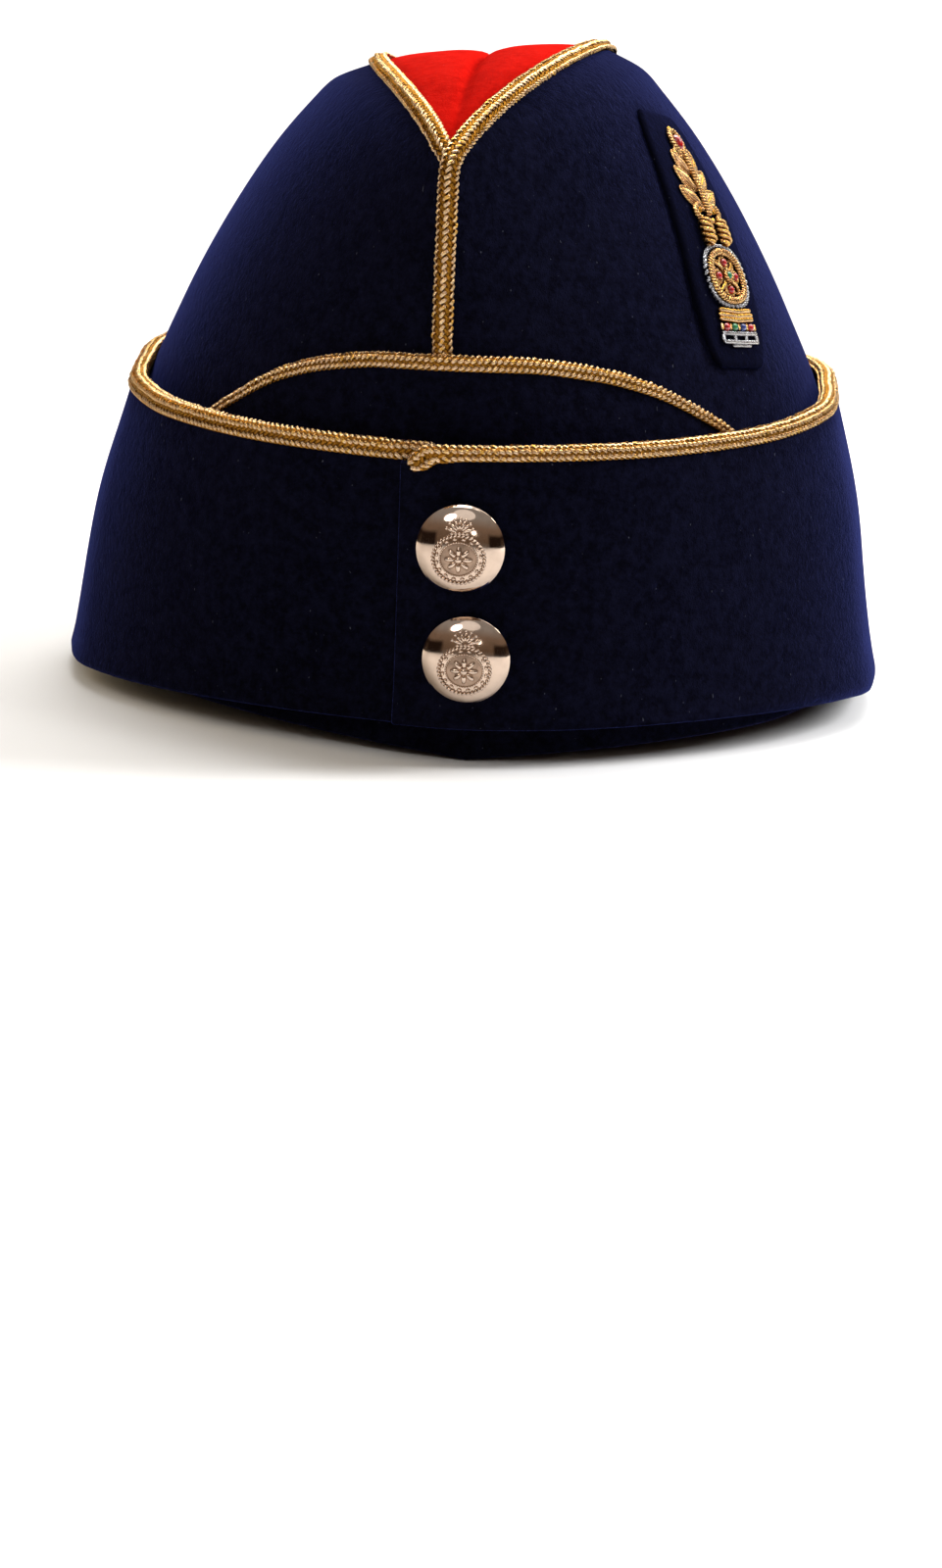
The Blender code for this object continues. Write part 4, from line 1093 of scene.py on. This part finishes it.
class CAP_OT_braid(bpy.types.Operator):
    """Plait the gilt braid over the curtain's and the peak's edges, the two ridges and the seams"""

    bl_idname = "cap.braid"
    bl_label = "Gilt braid"

    def execute(self, context):
        self.braid = braid = context.scene.cap_braid
        gilt = wound_thread("gilt_braid", tuple(braid.gilt), tuple(braid.tarnish), tuple(braid.core))
        self.gilt = gilt, shadow_core_material(braid)
        pieces = [(piece, "curtain_braid") for piece in self.on_curtain(braid.step)]
        pieces += [(piece, "peak_braid") for piece in self.on_peak(braid.step)]
        for side, node in ((1, "ridge_braid_left"), (-1, "ridge_braid_right")):
            pieces += [(piece, node) for piece in self.on_ridge(side, braid.step)]
        for piece, node in pieces:
            dress(piece, None, "gilt_braid", node)
        return {"FINISHED"}

    def on_curtain(self, step):
        def edge(turn):
            return layer_point(turn, curtain_top(turn), curtain_out(turn, 1.0) + CURTAIN_CLOTH)

        last = LAST_TURN + BRAID_SHORT
        turn = stations_between(BRAID_START, last, edge, step)[:, None]
        down, off = over_edge(CURTAIN_BRAID_SHOWN, CURTAIN_BRAID_INSIDE, CURTAIN_CLOTH, CURTAIN_ROWS)
        height = curtain_top(turn) - curtain_fold(turn)
        behind = ramp(*BRAID_BEHIND, turn)
        middle = curtain_out(turn, np.minimum(1 - down / height, 1.0)) + CURTAIN_CLOTH / 2
        middle = middle - BEHIND_SINK * behind
        from_end = past_lap(turn, last)
        point = 1 - LAP_BRAID_TAPER * (1 - np.clip(from_end / LAP_BRAID_POINT, 0.0, 1.0)) ** 2
        lapping = turned(turn) > turned(np.array(last)) - 1e-9
        near_lap = 1 - ramp(0.0, LAP_BRAID_SPREAD, from_end)
        wide = np.where(lapping, between(BRAID_WIDE_LEFT, BRAID_WIDE_LAP, near_lap), BRAID_WIDE_RIGHT)
        down = down * np.where(down > 0, wide, 1.0) * point
        places = edge_point(turn, lap_edge, down, middle + off * (1 - BEHIND_THINNING * behind))
        return plait("curtain_edge_braid", places, CURTAIN_STRANDS, self.braid, self.gilt, lengths=4)

    def on_peak(self, step):
        def edge(angle):
            return layer_point(angle, peak_top(angle), PEAK_OUT + PEAK_CLOTH)

        angle = stations_between(PEAK_TURN - PEAK_SWING, PEAK_TURN + PEAK_SWING, edge, step)[:, None]
        down, off = over_edge(PEAK_BRAID_SHOWN + STRAND_STAND, 0.0, PEAK_CLOTH, PEAK_ROWS)
        narrow = 1 - PEAK_BRAID_NARROWING * (np.abs(angle - PEAK_TURN) / PEAK_SWING) ** 3
        places = edge_point(angle, peak_top, down * narrow, PEAK_OUT + PEAK_CLOTH / 2 + off)
        return plait("peak_edge_braid", places, PEAK_STRANDS, self.braid, self.gilt)

    def on_ridge(self, side, step):
        """Along one ridge and on down a seam; its other end tucks in under the other ridge's braid."""
        seam, edge = (0.0, peak_top) if side > 0 else (math.pi, curtain_top)
        lowest = float(rise_at(seam, float(edge(seam)) - SEAM_END_ABOVE))

        def parts(run):
            """run is below 0 on the seam and above 0 on the ridge."""
            on_seam = run < 0
            rise = np.where(on_seam, between(SEAM_START, lowest, np.minimum(-run, 1.0)), 1.0)
            swing = np.where(on_seam, 0.0, run * (math.pi - RIDGE_TUCK))
            return swing if side > 0 else math.pi - swing, rise, on_seam

        def centre(run):
            swing, rise, on_seam = parts(run)
            return crown_point(np.where(on_seam, seam, side * swing), rise)

        run = stations_between(-1.0, 1.0, centre, step)
        swing, rise, on_seam = parts(run)
        along_ridge = np.where(on_seam, 0.0, run)
        beside = np.where(on_seam, np.abs(seam - SEAM_BESIDE), swing)
        first = panel_normal(side, beside, np.where(on_seam, rise, SEAM_TOP))
        on_top = top_normal(np.clip(swing, CROWN_STEP, math.pi - CROWN_STEP), side * TOP_BESIDE)
        away = ramp(0.0, RIDGE_START, along_ridge)[:, None]
        second = unit(between(first * (-1, 1, 1), on_top, away))
        place, first, second = eased(centre(run)), unit(eased(first)), unit(eased(second))
        from_rear, to_rear = (math.pi - before for before in RIDGE_SINK_OVER)
        sink = RIDGE_SINK * ramp(from_rear, to_rear, along_ridge * (math.pi - RIDGE_TUCK))
        places = self.ridge_rows(place, first, second, sink)
        name = "ridge_left" if side > 0 else "ridge_right"
        return plait(name, places, RIDGE_STRANDS, self.braid, self.gilt)

    def ridge_rows(self, place, first, second, sink):
        """Rows of points across a braid bent over a ridge, whose two faces look the ways first and second."""
        up = unit(first + second)
        across = unit(np.cross(unit(np.gradient(place, axis=0)), up))
        across = across * np.sign((across * (first - second)).sum(-1).mean())
        spread = np.linspace(-1.0, 1.0, RIDGE_ROWS)[None, :] * math.pi / 2
        share = np.sin(spread)
        off = share * SEAM_BRAID_WIDTH / 2
        tilt_first = -(first * across).sum(-1) / (first * up).sum(-1)
        tilt_second = (second * across).sum(-1) / (second * up).sum(-1)
        tilt = np.where(share > 0, tilt_first[:, None], tilt_second[:, None])
        fall = (np.sqrt(off**2 + RIDGE_BEND**2) - RIDGE_BEND) * tilt
        lift = SEAM_BRAID_HEIGHT * (RIDGE_EDGE_LIFT + RIDGE_MIDDLE_LIFT * np.cos(spread) ** RIDGE_ROUNDING)
        high = fall + lift + GAP - sink[:, None]
        return place[:, None] + across[:, None] * off[..., None] + up[:, None] * high[..., None]


def dome_height(radius, button):
    """Height of the button's dome at this distance from its middle."""
    bare = max(0.0, 1 - (radius / button.radius) ** 2)
    return button.dome * between(DOME_EDGE, 1.0, bare**DOME_POWER)


def dome_lean(x, y, button, step=0.0001):
    """The turn that stands a bead square on the dome here."""
    out = math.hypot(x, y)
    rise = dome_height(out + step, button) - dome_height(max(out - step, 0.0), button)
    slope = rise / (2 * step)
    way = Vector((-slope * x / out, -slope * y / out, 1.0)) if out > step else Vector((0, 0, 1))
    return Vector((0, 0, 1)).rotation_difference(way.normalized()).to_matrix()


def ornament_beads():
    """Each bead's place in millimetres, how far it is turned and its half sizes."""
    beads = [((0.0, RING_DROP), 0.0, (0.90, 0.90, 1.10))]
    for count, first, step, wide, tall, middle, along, turn, size in RINGS:
        for i in range(count):
            spin = math.radians(first + step * i)
            lies = math.atan2(tall * math.cos(spin), -wide * math.sin(spin)) if along else spin
            beads.append(((wide * math.cos(spin), middle + tall * math.sin(spin)), lies + turn, size))
    for x in FAN_PARTS:
        beads.append(((x, FAN_TOP - FAN_BEND * x * x), 0.0, (0.50, 0.40, 0.60)))
    return beads


class CAP_OT_buttons(bpy.types.Operator):
    """Make the two domed buttons, each with a rolled edge, an oval rope ring, a rosette and a fan above it"""

    bl_idname = "cap.buttons"
    bl_label = "Buttons"

    def execute(self, context):
        button = context.scene.cap_button
        metal = polished_metal("silvered_metal", tuple(button.metal))
        patina = polished_metal("silvered_metal_patina", tuple(button.patina), 0.30)
        for name, (across, height) in BUTTONS.items():
            self.turn_dome(context, button)
            body_faces = len(context.active_object.data.polygons)
            self.add_ornament(context, button)
            made = context.active_object
            made.name = made.data.name = "domed_" + name
            made.data.materials.append(metal)
            made.data.materials.append(patina)
            for face in made.data.polygons[:body_faces]:
                x, y, _ = face.center * 1000
                inside = (x / PATINA_OVAL[0]) ** 2 + ((y - RING_DROP) / PATINA_OVAL[1]) ** 2 < 1
                face.material_index = int(inside and face.normal.z > 0)
            self.seat(made, turn_at(across, height), height)
            bpy.ops.object.shade_smooth_by_angle(angle=SMOOTH_ANGLE)
            dress(made, None, "silvered_metal", name)
        return {"FINISHED"}

    def seat(self, made, turn, height):
        """Stands a button square on the curtain's outer face."""
        level = np.array((height - BUTTON_RADIUS, height, height + BUTTON_RADIUS))
        out = curtain_out(np.full(3, turn), level / float(curtain_top(turn))) + CURTAIN_CLOTH
        low, place, high = layer_point(np.full(3, turn), level, out)
        upward = unit(high - low)
        axis = unit(np.array((0.0, -upward[2], upward[1])))
        made.location = place + axis * 2 * GAP
        made.rotation_euler = (math.atan2(-axis[1], axis[2]), 0.0, 0.0)
        bpy.ops.object.transform_apply(location=True, rotation=True, scale=True)

    def turn_dome(self, context, button):
        """The button's body, turned from its half section."""
        outs = np.linspace(0.0, DOME_REACH, DOME_RINGS) * button.radius
        section = [(out, dome_height(out, button)) for out in outs]
        section += [(share * button.radius, up) for share, up in ROLLED_EDGE]
        edges = [(i, i + 1) for i in range(len(section) - 1)]
        mesh = bpy.data.meshes.new("dome")
        mesh.from_pydata([(out, 0.0, up) for out, up in section], edges, [])
        body = new_object("dome", mesh)
        deselect_all()
        body.select_set(True)
        context.view_layer.objects.active = body
        bpy.ops.object.mode_set(mode="EDIT")
        bpy.ops.mesh.select_all(action="SELECT")
        bpy.ops.mesh.spin(steps=DOME_SIDES, angle=2 * math.pi, center=(0, 0, 0), axis=(0, 0, 1))
        bpy.ops.mesh.select_all(action="SELECT")
        bpy.ops.mesh.remove_doubles(threshold=1e-5)
        bpy.ops.mesh.normals_make_consistent(inside=False)
        bpy.ops.object.mode_set(mode="OBJECT")

    def add_ornament(self, context, button):
        """Adds the ornament's beads to the dome, which is the active object."""
        made = [context.active_object]
        for (x, y), turn, size in ornament_beads():
            x, y = x / 1000, y / 1000
            stand = dome_lean(x, y, button) @ Matrix.Rotation(turn, 3, "Z")
            bpy.ops.mesh.primitive_uv_sphere_add(
                segments=10,
                ring_count=6,
                radius=0.001,
                location=(x, y, dome_height(math.hypot(x, y), button)),
                rotation=stand.to_euler(),
                scale=size,
            )
            made.append(context.active_object)
        deselect_all()
        for piece in made:
            piece.select_set(True)
        context.view_layer.objects.active = made[0]
        bpy.ops.object.join()


# Badge


class BadgeCloth:
    """The left panel's cloth about the badge: points by distances across, along and out from it."""

    def __init__(self):
        place = crown_point(BADGE_ANGLE, BADGE_RISE)
        per_angle = (crown_point(BADGE_ANGLE + BADGE_STEP, BADGE_RISE) - place) / BADGE_STEP
        per_rise = (crown_point(BADGE_ANGLE, BADGE_RISE + BADGE_STEP) - place) / BADGE_STEP
        level = unit(per_angle * (1.0, 1.0, 0.0))
        upward = unit(per_rise - level * (per_rise @ level))
        along = upward * math.cos(BADGE_TURN) - level * math.sin(BADGE_TURN)
        across = level * math.cos(BADGE_TURN) + upward * math.sin(BADGE_TURN)
        basis = np.stack((per_angle, per_rise), -1)
        self.steps = [np.linalg.lstsq(basis, way, rcond=None)[0] for way in (along, across)]

    def at(self, across, along, out):
        across, along, out = np.broadcast_arrays(*(np.asarray(v, float) for v in (across, along, out)))
        (angle_along, rise_along), (angle_across, rise_across) = self.steps
        angle = BADGE_ANGLE + along * angle_along + across * angle_across
        rise = BADGE_RISE + along * rise_along + across * rise_across
        return crown_point(angle, rise) + crown_normal(angle, rise, ANGLE_STEP) * out[..., None]


def tube_rings(path, radius, sides, lobes=0, turn_length=1.0, depth=0.0):
    """Rings round a path, its length so far in turns of wire, and its painted shade, low between a rope's
    strands.

    lobes with a depth twist round it once in each turn length, as a rope's strands do.
    """
    path = np.asarray(path)
    run = length_along(path)
    ahead = unit(np.gradient(path, axis=0))
    from_middle = path.mean(0) * (1.0, 0.0, 1.0) + (0.0, 0.0, 0.02)
    beside = unit(np.cross(ahead, unit(from_middle)))
    above = np.cross(beside, ahead)
    spin = np.arange(sides) * 2 * math.pi / sides
    proud = 2 * np.abs(np.cos(lobes / 2 * (spin[None, :] - 2 * math.pi * run[:, None] / turn_length))) - 1
    size = np.broadcast_to(radius, run.shape)[:, None] * (1 + depth * proud)
    ring = beside[:, None] * np.cos(spin)[:, None] + above[:, None] * np.sin(spin)[:, None]
    # Painted shade: low between the lobes of a rope, and none on a plain tube
    return path[:, None] + ring * size[..., None], run / WIRE_TURN, 0.5 + 0.5 * proud if lobes else 1.0


def heading(lean):
    """A way across and along the badge, this far round from straight up."""
    return np.array((math.sin(lean), math.cos(lean)))


def oval(centre, wide, tall, count=48, square=1.0):
    """Points round an oval; a square below 1 fills its corners out."""
    spin = np.linspace(0.0, 2 * math.pi, count)
    across, along = (np.sign(wave) * np.abs(wave) ** square for wave in (np.sin(spin), np.cos(spin)))
    return np.stack((centre[0] + wide * across, centre[1] + tall * along), -1)


class CAP_OT_badge(bpy.types.Operator):
    """Make the badge: bullion leaves, cords and a rosette with small stones on a felt patch"""

    bl_idname = "cap.badge"
    bl_label = "Badge"

    def execute(self, context):
        self.cloth, self.face = BadgeCloth(), GAP + PATCH_FELT
        self.make_patch(context.scene.cap_cloth)
        self.gold, self.silver = Pile(), Pile()
        self.stones = {name: Pile() for name in STONES}
        self.lay_spray()
        self.lay_rosette()
        self.lay_foot()
        gold = wound_thread("bullion", *BULLION_GOLD, 1.3, 0.00008)
        silver = wound_thread("silver_bullion", *BULLION_SILVER, 1.3, 0.00006)
        dress(self.gold.make("badge_gold", gold), None, "bullion", "badge")
        dress(self.silver.make("badge_silver", silver), None, "bullion", "badge")
        for name, colour in STONES.items():
            piece = self.stones[name].make(f"badge_stones_{name}", stone(f"{name}_stone", colour))
            dress(piece, None, "bullion", "badge")
        return {"FINISHED"}

    def make_patch(self, cloth):
        sheen = (0.11, tuple(cloth.wool_sheen))
        felt = napped_cloth("black_felt", tuple(cloth.patch), tuple(cloth.wool), sheen, 1000.0)
        place = np.sin(np.linspace(-math.pi / 2, math.pi / 2, 61))[:, None]
        share = np.sin(np.linspace(-math.pi / 2, math.pi / 2, 31))[None, :]
        from_end, from_side = 1 - np.abs(place), 1 - np.abs(share)
        wide = PATCH_HALF_WIDTH + PATCH_MARGIN * (1 - place**4)
        wide = wide * (PATCH_END + (1 - PATCH_END) * np.sqrt(np.clip(from_end / PATCH_CORNER, 0.0, 1.0)))
        wide = wide * (1 + PATCH_UNEVEN * wander(11 * place + 3 * np.sign(share), seed=2.0))
        along = (BADGE_LENGTH / 2 + PATCH_MARGIN) * place
        from_edge = np.minimum(from_side * wide, from_end * BADGE_LENGTH / 2)
        thick = between(PATCH_EDGE, 1.0, np.sqrt(np.clip(from_edge / PATCH_ROUND, 0.0, 1.0)))
        face = self.cloth.at(wide * share, along, GAP + PATCH_FELT * thick)
        patch = wall_object("felt_patch", face, self.cloth.at(wide * share, along, GAP))
        smooth_shading(patch.data)
        dress(patch, felt, "black_felt", "badge_patch")

    def lay(self, points, radius, height, step, least):
        """A path over points across and along the badge, and its radius there, rounded off at both ends."""
        points = np.array(points, float) * BADGE_UNIT
        run = length_along(points)
        at = np.linspace(0.0, run[-1], max(least, round(run[-1] / step)))
        across, along = (np.interp(at, run, points[:, i]) for i in (0, 1))
        height = np.interp(at, run, np.broadcast_to(height, run.shape)) * BADGE_UNIT
        size = radius * BADGE_UNIT
        end = np.clip(np.minimum(at, run[-1] - at) / size, 0.04, 1.0)
        return self.cloth.at(across, along, self.face + height), size * np.sqrt(1 - (1 - end) ** 2)

    def rope(self, points, radius, height, turn=2.2, depth=0.16, sides=12):
        """Lays a gold cord of three twisted strands. Its sizes are in BADGE_UNIT, as all here are."""
        path, size = self.lay(points, radius, height, ROPE_STEP, 8)
        self.gold.add(*tube_rings(path, size, sides, 3, turn * BADGE_UNIT, depth))

    def purl(self, pile, points, radius, height, shade_and_mottle=1.0):
        """Lays a length of close-coiled wire, painted lighter on its side away from the cloth and darker as
        shade towards it.
        """
        path, size = self.lay(points, radius, height, PURL_STEP, 7)
        rings, run, _ = tube_rings(path, size, PURL_SIDES)
        # Painted shade round each coil, darkest on the side towards the cloth
        around = 0.62 + 0.38 * np.sin(np.arange(PURL_SIDES) * 2 * math.pi / PURL_SIDES)
        pile.add(rings, run, shade_and_mottle * around[None, :])

    def bead(self, pile, across, along, size, height, squash=(1.0, 1.0, 0.8)):
        """Sets a small rounded bead on the badge."""
        swing = np.linspace(0.05, math.pi - 0.05, 9)[:, None]
        spin = np.arange(12) * math.pi / 6
        wide, deep, tall = (size * share for share in squash)
        x = across + wide * np.sin(swing) * np.cos(spin)
        y = along + deep * np.sin(swing) * np.sin(spin)
        z = height + tall * np.cos(swing) * np.ones(12)
        place = self.cloth.at(x * BADGE_UNIT, y * BADGE_UNIT, self.face + z * BADGE_UNIT)
        pile.add(place, np.linspace(0.0, 2.0, 9))

    def leaf(self, root, lean, length, half, lines=5):
        """A padded leaf: purls side by side between its root and its tip, with a cord round them."""
        way = heading(lean)
        square = np.array((way[1], -way[0]))
        root = np.array(root)
        heart = root + way * length * 0.5
        for k in np.linspace(-1.0, 1.0, lines):
            begin = root + way * (0.5 + 0.7 * abs(k)) + square * k * half * 0.35
            belly = heart + square * k * half * 0.86
            tip = root + way * (length - 1.6 * abs(k) - 0.3) + square * k * half * 0.38
            pad = 0.45 + 0.55 * (1 - abs(k))
            # Painted shade: the outer purls, which lie lower, are painted darker
            self.purl(self.gold, [begin, belly, tip], 0.40, (pad * 0.7, pad, 0.35), 1.0 - 0.25 * abs(k))
        at = np.linspace(0.0, 1.0, 12)[:, None]
        tip = root + way * (length + 0.3)
        for side in (-1, 1):
            pull = 2 * (heart + square * side * half * 1.12) - (root + tip) / 2
            self.rope(root * (1 - at) ** 2 + 2 * at * (1 - at) * pull + tip * at**2, 0.30, 0.40)

    def lay_spray(self):
        """A bud over three pairs of padded leaves on a stem, with scrolls below it and two twisted cords."""
        self.rope(oval((0.0, 22.6), 2.1, 2.6), 0.62, 0.6)
        self.bead(self.stones["red"], 0.0, 22.3, 1.35, 0.8, (1.0, 1.35, 0.8))
        self.bead(self.gold, 0.0, 25.6, 0.62, 0.5)
        self.rope([(0.0, 4.8), (0.2, 12.0), (0.0, 19.8)], 0.75, 1.0, depth=0.22)
        for side in (-1, 1):
            for foot, length, lean in ((7.4, 7.6, 58), (11.0, 7.6, 47), (14.8, 6.4, 36)):
                self.leaf((side * 0.7, foot), side * math.radians(lean), length, 1.55)
            spiral = np.linspace(0.0, 1.6 * math.pi, 26)
            reach = 2.3 - 0.28 * spiral
            curl = (side * (2.9 + reach * np.sin(spiral)), 6.2 - reach * 0.85 * np.cos(spiral))
            self.rope(np.stack(curl, -1), 0.62, 0.75, depth=0.2)
            self.bead(self.gold, side * 3.0, 6.3, 0.75, 0.8)
            cord = [(side * 3.0, 4.4), (side * 3.2, 1.4), (side * 3.0, -2.3)]
            self.rope(cord, 1.42, 1.05, turn=4.2, depth=0.24, sides=18)
            self.rope(oval((side * 2.3, 19.6), 1.3, 1.1, 24), 0.45, 0.6)
        self.purl(self.gold, [(-1.5, 4.2), (0.0, 3.4), (1.5, 4.2)], 0.6, 0.9)

    def lay_rosette(self):
        """A square-shouldered wreath of silver purl and gold cord, with four petals and small stones."""
        centre = np.array((0.0, -9.2))
        outline = oval(centre, 7.3, 7.1, 41, square=0.78)
        for here, after in zip(outline, outline[1:]):
            x, y = (here + after) / 2
            way = (after - here) / np.linalg.norm(after - here)
            u, v = (way + 0.6 * np.array((way[1], -way[0]))) * 0.56
            self.purl(self.silver, [(x - u, y - v), (x, y), (x + u, y + v)], 0.44, (0.3, 0.85, 0.3))
        self.rope(oval(centre, 5.85, 5.75, square=0.85), 0.72, 0.8, depth=0.22)
        for i in range(4):
            lean = math.pi / 4 + math.pi / 2 * i
            self.leaf(centre + heading(lean) * 0.9, lean, 4.3, 1.25, lines=3)
            gem = centre + heading(lean + math.pi / 4) * 3.2
            self.bead(self.stones["red"], *gem, 0.95, 0.7, (1.0, 1.0, 0.9))
            self.rope(oval(gem, 1.35, 1.3, 20), 0.34, 0.5)
        self.rope(oval(centre, 1.25, 1.25, 20), 0.40, 1.3)
        self.bead(self.stones["green"], *centre, 0.9, 1.3)

    def lay_foot(self):
        """Gold bars, a row of stones and a slotted silver bar below the rosette."""
        for y, wide in ((-17.3, 5.9), (-18.4, 6.3), (-19.4, 6.2)):
            self.purl(self.gold, [(-wide, y + 0.3), (0.0, y - 0.3), (wide, y + 0.3)], 0.56, (0.5, 0.85, 0.5))
        for x, colour in ((-4.5, "red"), (-1.5, "green"), (1.5, "blue"), (4.5, "red")):
            self.bead(self.stones[colour], x, -21.1, 0.95, 0.6, (1.2, 1.0, 0.8))
        for x in (-6.0, -3.0, 0.0, 3.0, 6.0):
            self.purl(self.gold, [(x, -20.2), (x, -21.9)], 0.38, 0.6)
        for y in (-22.6, -24.6):
            self.purl(self.silver, [(-6.3, y), (0.0, y - 0.15), (6.3, y)], 0.55, 0.6)
        for x in (-6.0, -2.0, 2.0, 6.0):
            self.purl(self.silver, [(x, -22.7), (x, -24.6)], 0.50, 0.5)
        self.purl(self.silver, [(-3.4, -25.5), (3.4, -25.5)], 0.42, 0.5)


class CAP_OT_stage(bpy.types.Operator):
    """Lay the floor, set the soft lights and place the camera"""

    bl_idname = "cap.stage"
    bl_label = "Stage"

    def execute(self, context):
        stage = context.scene.cap_stage
        self.lay_floor(stage)
        for name, place, aim, size, power, colour in LIGHTS:
            light = bpy.data.lights.new(name, "AREA")
            light.shape, light.size = "DISK", size
            light.energy, light.color = power * stage.brightness, colour
            lamp = bpy.data.objects.new(name, light)
            lamp.visible_glossy = name not in NOT_MIRRORED
            lamp.visible_diffuse = name not in MIRRORED_ONLY
            context.scene.collection.objects.link(lamp)
            lamp.location = place
            lamp.rotation_euler = (Vector(aim) - Vector(place)).to_track_quat("-Z", "Y").to_euler()
        self.paint_walls(context)
        context.scene.view_settings.view_transform = "Standard"
        self.place_camera(context, stage)
        return {"FINISHED"}

    def paint_walls(self, context):
        """The studio's warm walls, which the metal mirrors; they darken low down at both sides."""
        world = bpy.data.worlds.new("studio")
        context.scene.world = world
        world.use_nodes = True
        walls = Nodes(world.node_tree)
        out, room = walls.node("ShaderNodeOutputWorld"), walls.node("ShaderNodeBackground")
        parts = walls.node("ShaderNodeSeparateXYZ")
        across = walls.node("ShaderNodeMath", operation="ABSOLUTE")
        both = walls.node("ShaderNodeMath", operation="MULTIPLY")
        walls.link(walls.node("ShaderNodeTexCoord").outputs["Generated"], parts.inputs[0])
        walls.link(parts.outputs["X"], across.inputs[0])
        walls.link(walls.ramp(across.outputs[0], *DARK_ASIDE), both.inputs[0])
        walls.link(walls.ramp(parts.outputs["Z"], *DARK_BELOW), both.inputs[1])
        wall = walls.ramp(parts.outputs["Z"], *WALL_BY_HEIGHT)
        walls.link(walls.mix(both.outputs[0], wall, DARK_WALL), room.inputs["Color"])
        room.inputs["Strength"].default_value = WALL_BRIGHTNESS
        walls.link(room.outputs[0], out.inputs["Surface"])

    def lay_floor(self, stage):
        """A pale floor that curves up into a backdrop behind the cap."""
        spin = np.linspace(0.0, math.pi / 2, 25)
        bend = zip(FLOOR_REACH + FLOOR_BEND * np.sin(spin), FLOOR_BEND - FLOOR_BEND * np.cos(spin))
        run = [(FLOOR_FRONT, 0.0), *bend, (FLOOR_REACH + FLOOR_BEND, FLOOR_TOP)]
        points = [(x, y, z - 0.0002) for y, z in run for x in (-FLOOR_HALF, FLOOR_HALF)]
        faces = [(2 * i, 2 * i + 1, 2 * i + 3, 2 * i + 2) for i in range(len(run) - 1)]
        mesh = bpy.data.meshes.new("floor")
        mesh.from_pydata(points, [], faces)
        mesh.shade_smooth()
        floor = new_object("floor", mesh)
        made = Shader("floor_paint", Base_Color=tuple(stage.floor), Roughness=0.75, Specular_IOR_Level=0.2)
        floor.data.materials.append(made.material)

    def place_camera(self, context, stage):
        data = bpy.data.cameras.new("camera")
        data.sensor_fit = "AUTO"
        data.sensor_width = SENSOR
        data.lens = SENSOR * FOCAL_PIXELS / PICTURE_HEIGHT
        data.clip_start, data.clip_end = 0.01, 100.0
        camera = bpy.data.objects.new("camera", data)
        context.scene.collection.objects.link(camera)
        angles = stage.camera_angle, stage.camera_pitch, stage.camera_roll
        spin, pitch, roll = (math.radians(angle) for angle in angles)
        yaw = spin + CAMERA_ASIDE
        ahead = Vector((-math.sin(yaw) * math.cos(pitch), math.cos(yaw) * math.cos(pitch), -math.sin(pitch)))
        right = ahead.cross(Vector((0, 0, 1))).normalized()
        up = right.cross(ahead)
        right, up = (
            math.cos(roll) * right + math.sin(roll) * up,
            math.cos(roll) * up - math.sin(roll) * right,
        )
        matrix = Matrix((right, up, -ahead)).transposed().to_4x4()
        reach = stage.camera_distance
        matrix.translation = (reach * math.sin(spin), -reach * math.cos(spin), stage.camera_height)
        camera.matrix_world = matrix
        context.scene.camera = camera


def deselect_all():
    if bpy.context.active_object and bpy.context.active_object.mode != "OBJECT":
        bpy.ops.object.mode_set(mode="OBJECT")
    bpy.ops.object.select_all(action="DESELECT")


class CAP_PT_panel(bpy.types.Panel):
    """The side cap's pieces and settings"""

    bl_label = "Side Cap"
    bl_idname = "CAP_PT_panel"
    bl_space_type = "VIEW_3D"
    bl_region_type = "UI"
    bl_category = "Side Cap"

    def draw(self, context):
        layout = self.layout
        for operator in OPERATORS:
            layout.operator(operator.bl_idname)
        for group in SETTINGS:
            box = layout.box()
            settings = getattr(context.scene, group)
            for name in settings.__annotations__:
                box.prop(settings, name)


SETTINGS = {
    "cap_cloth": ClothSettings,
    "cap_braid": BraidSettings,
    "cap_button": ButtonSettings,
    "cap_stage": StageSettings,
}
OPERATORS = (
    CAP_OT_side_panels,
    CAP_OT_felt_top,
    CAP_OT_peak,
    CAP_OT_curtain,
    CAP_OT_braid,
    CAP_OT_buttons,
    CAP_OT_badge,
    CAP_OT_stage,
)


def register():
    for group, settings in SETTINGS.items():
        bpy.utils.register_class(settings)
        setattr(bpy.types.Scene, group, bpy.props.PointerProperty(type=settings))
    for cls in (*OPERATORS, CAP_PT_panel):
        bpy.utils.register_class(cls)


def unregister():
    for cls in reversed((*OPERATORS, CAP_PT_panel)):
        bpy.utils.unregister_class(cls)
    for group, settings in SETTINGS.items():
        delattr(bpy.types.Scene, group)
        bpy.utils.unregister_class(settings)


def main():
    register()
    for operator in OPERATORS:
        group, name = operator.bl_idname.split(".")
        getattr(getattr(bpy.ops, group), name)()


if __name__ == "__main__":
    main()
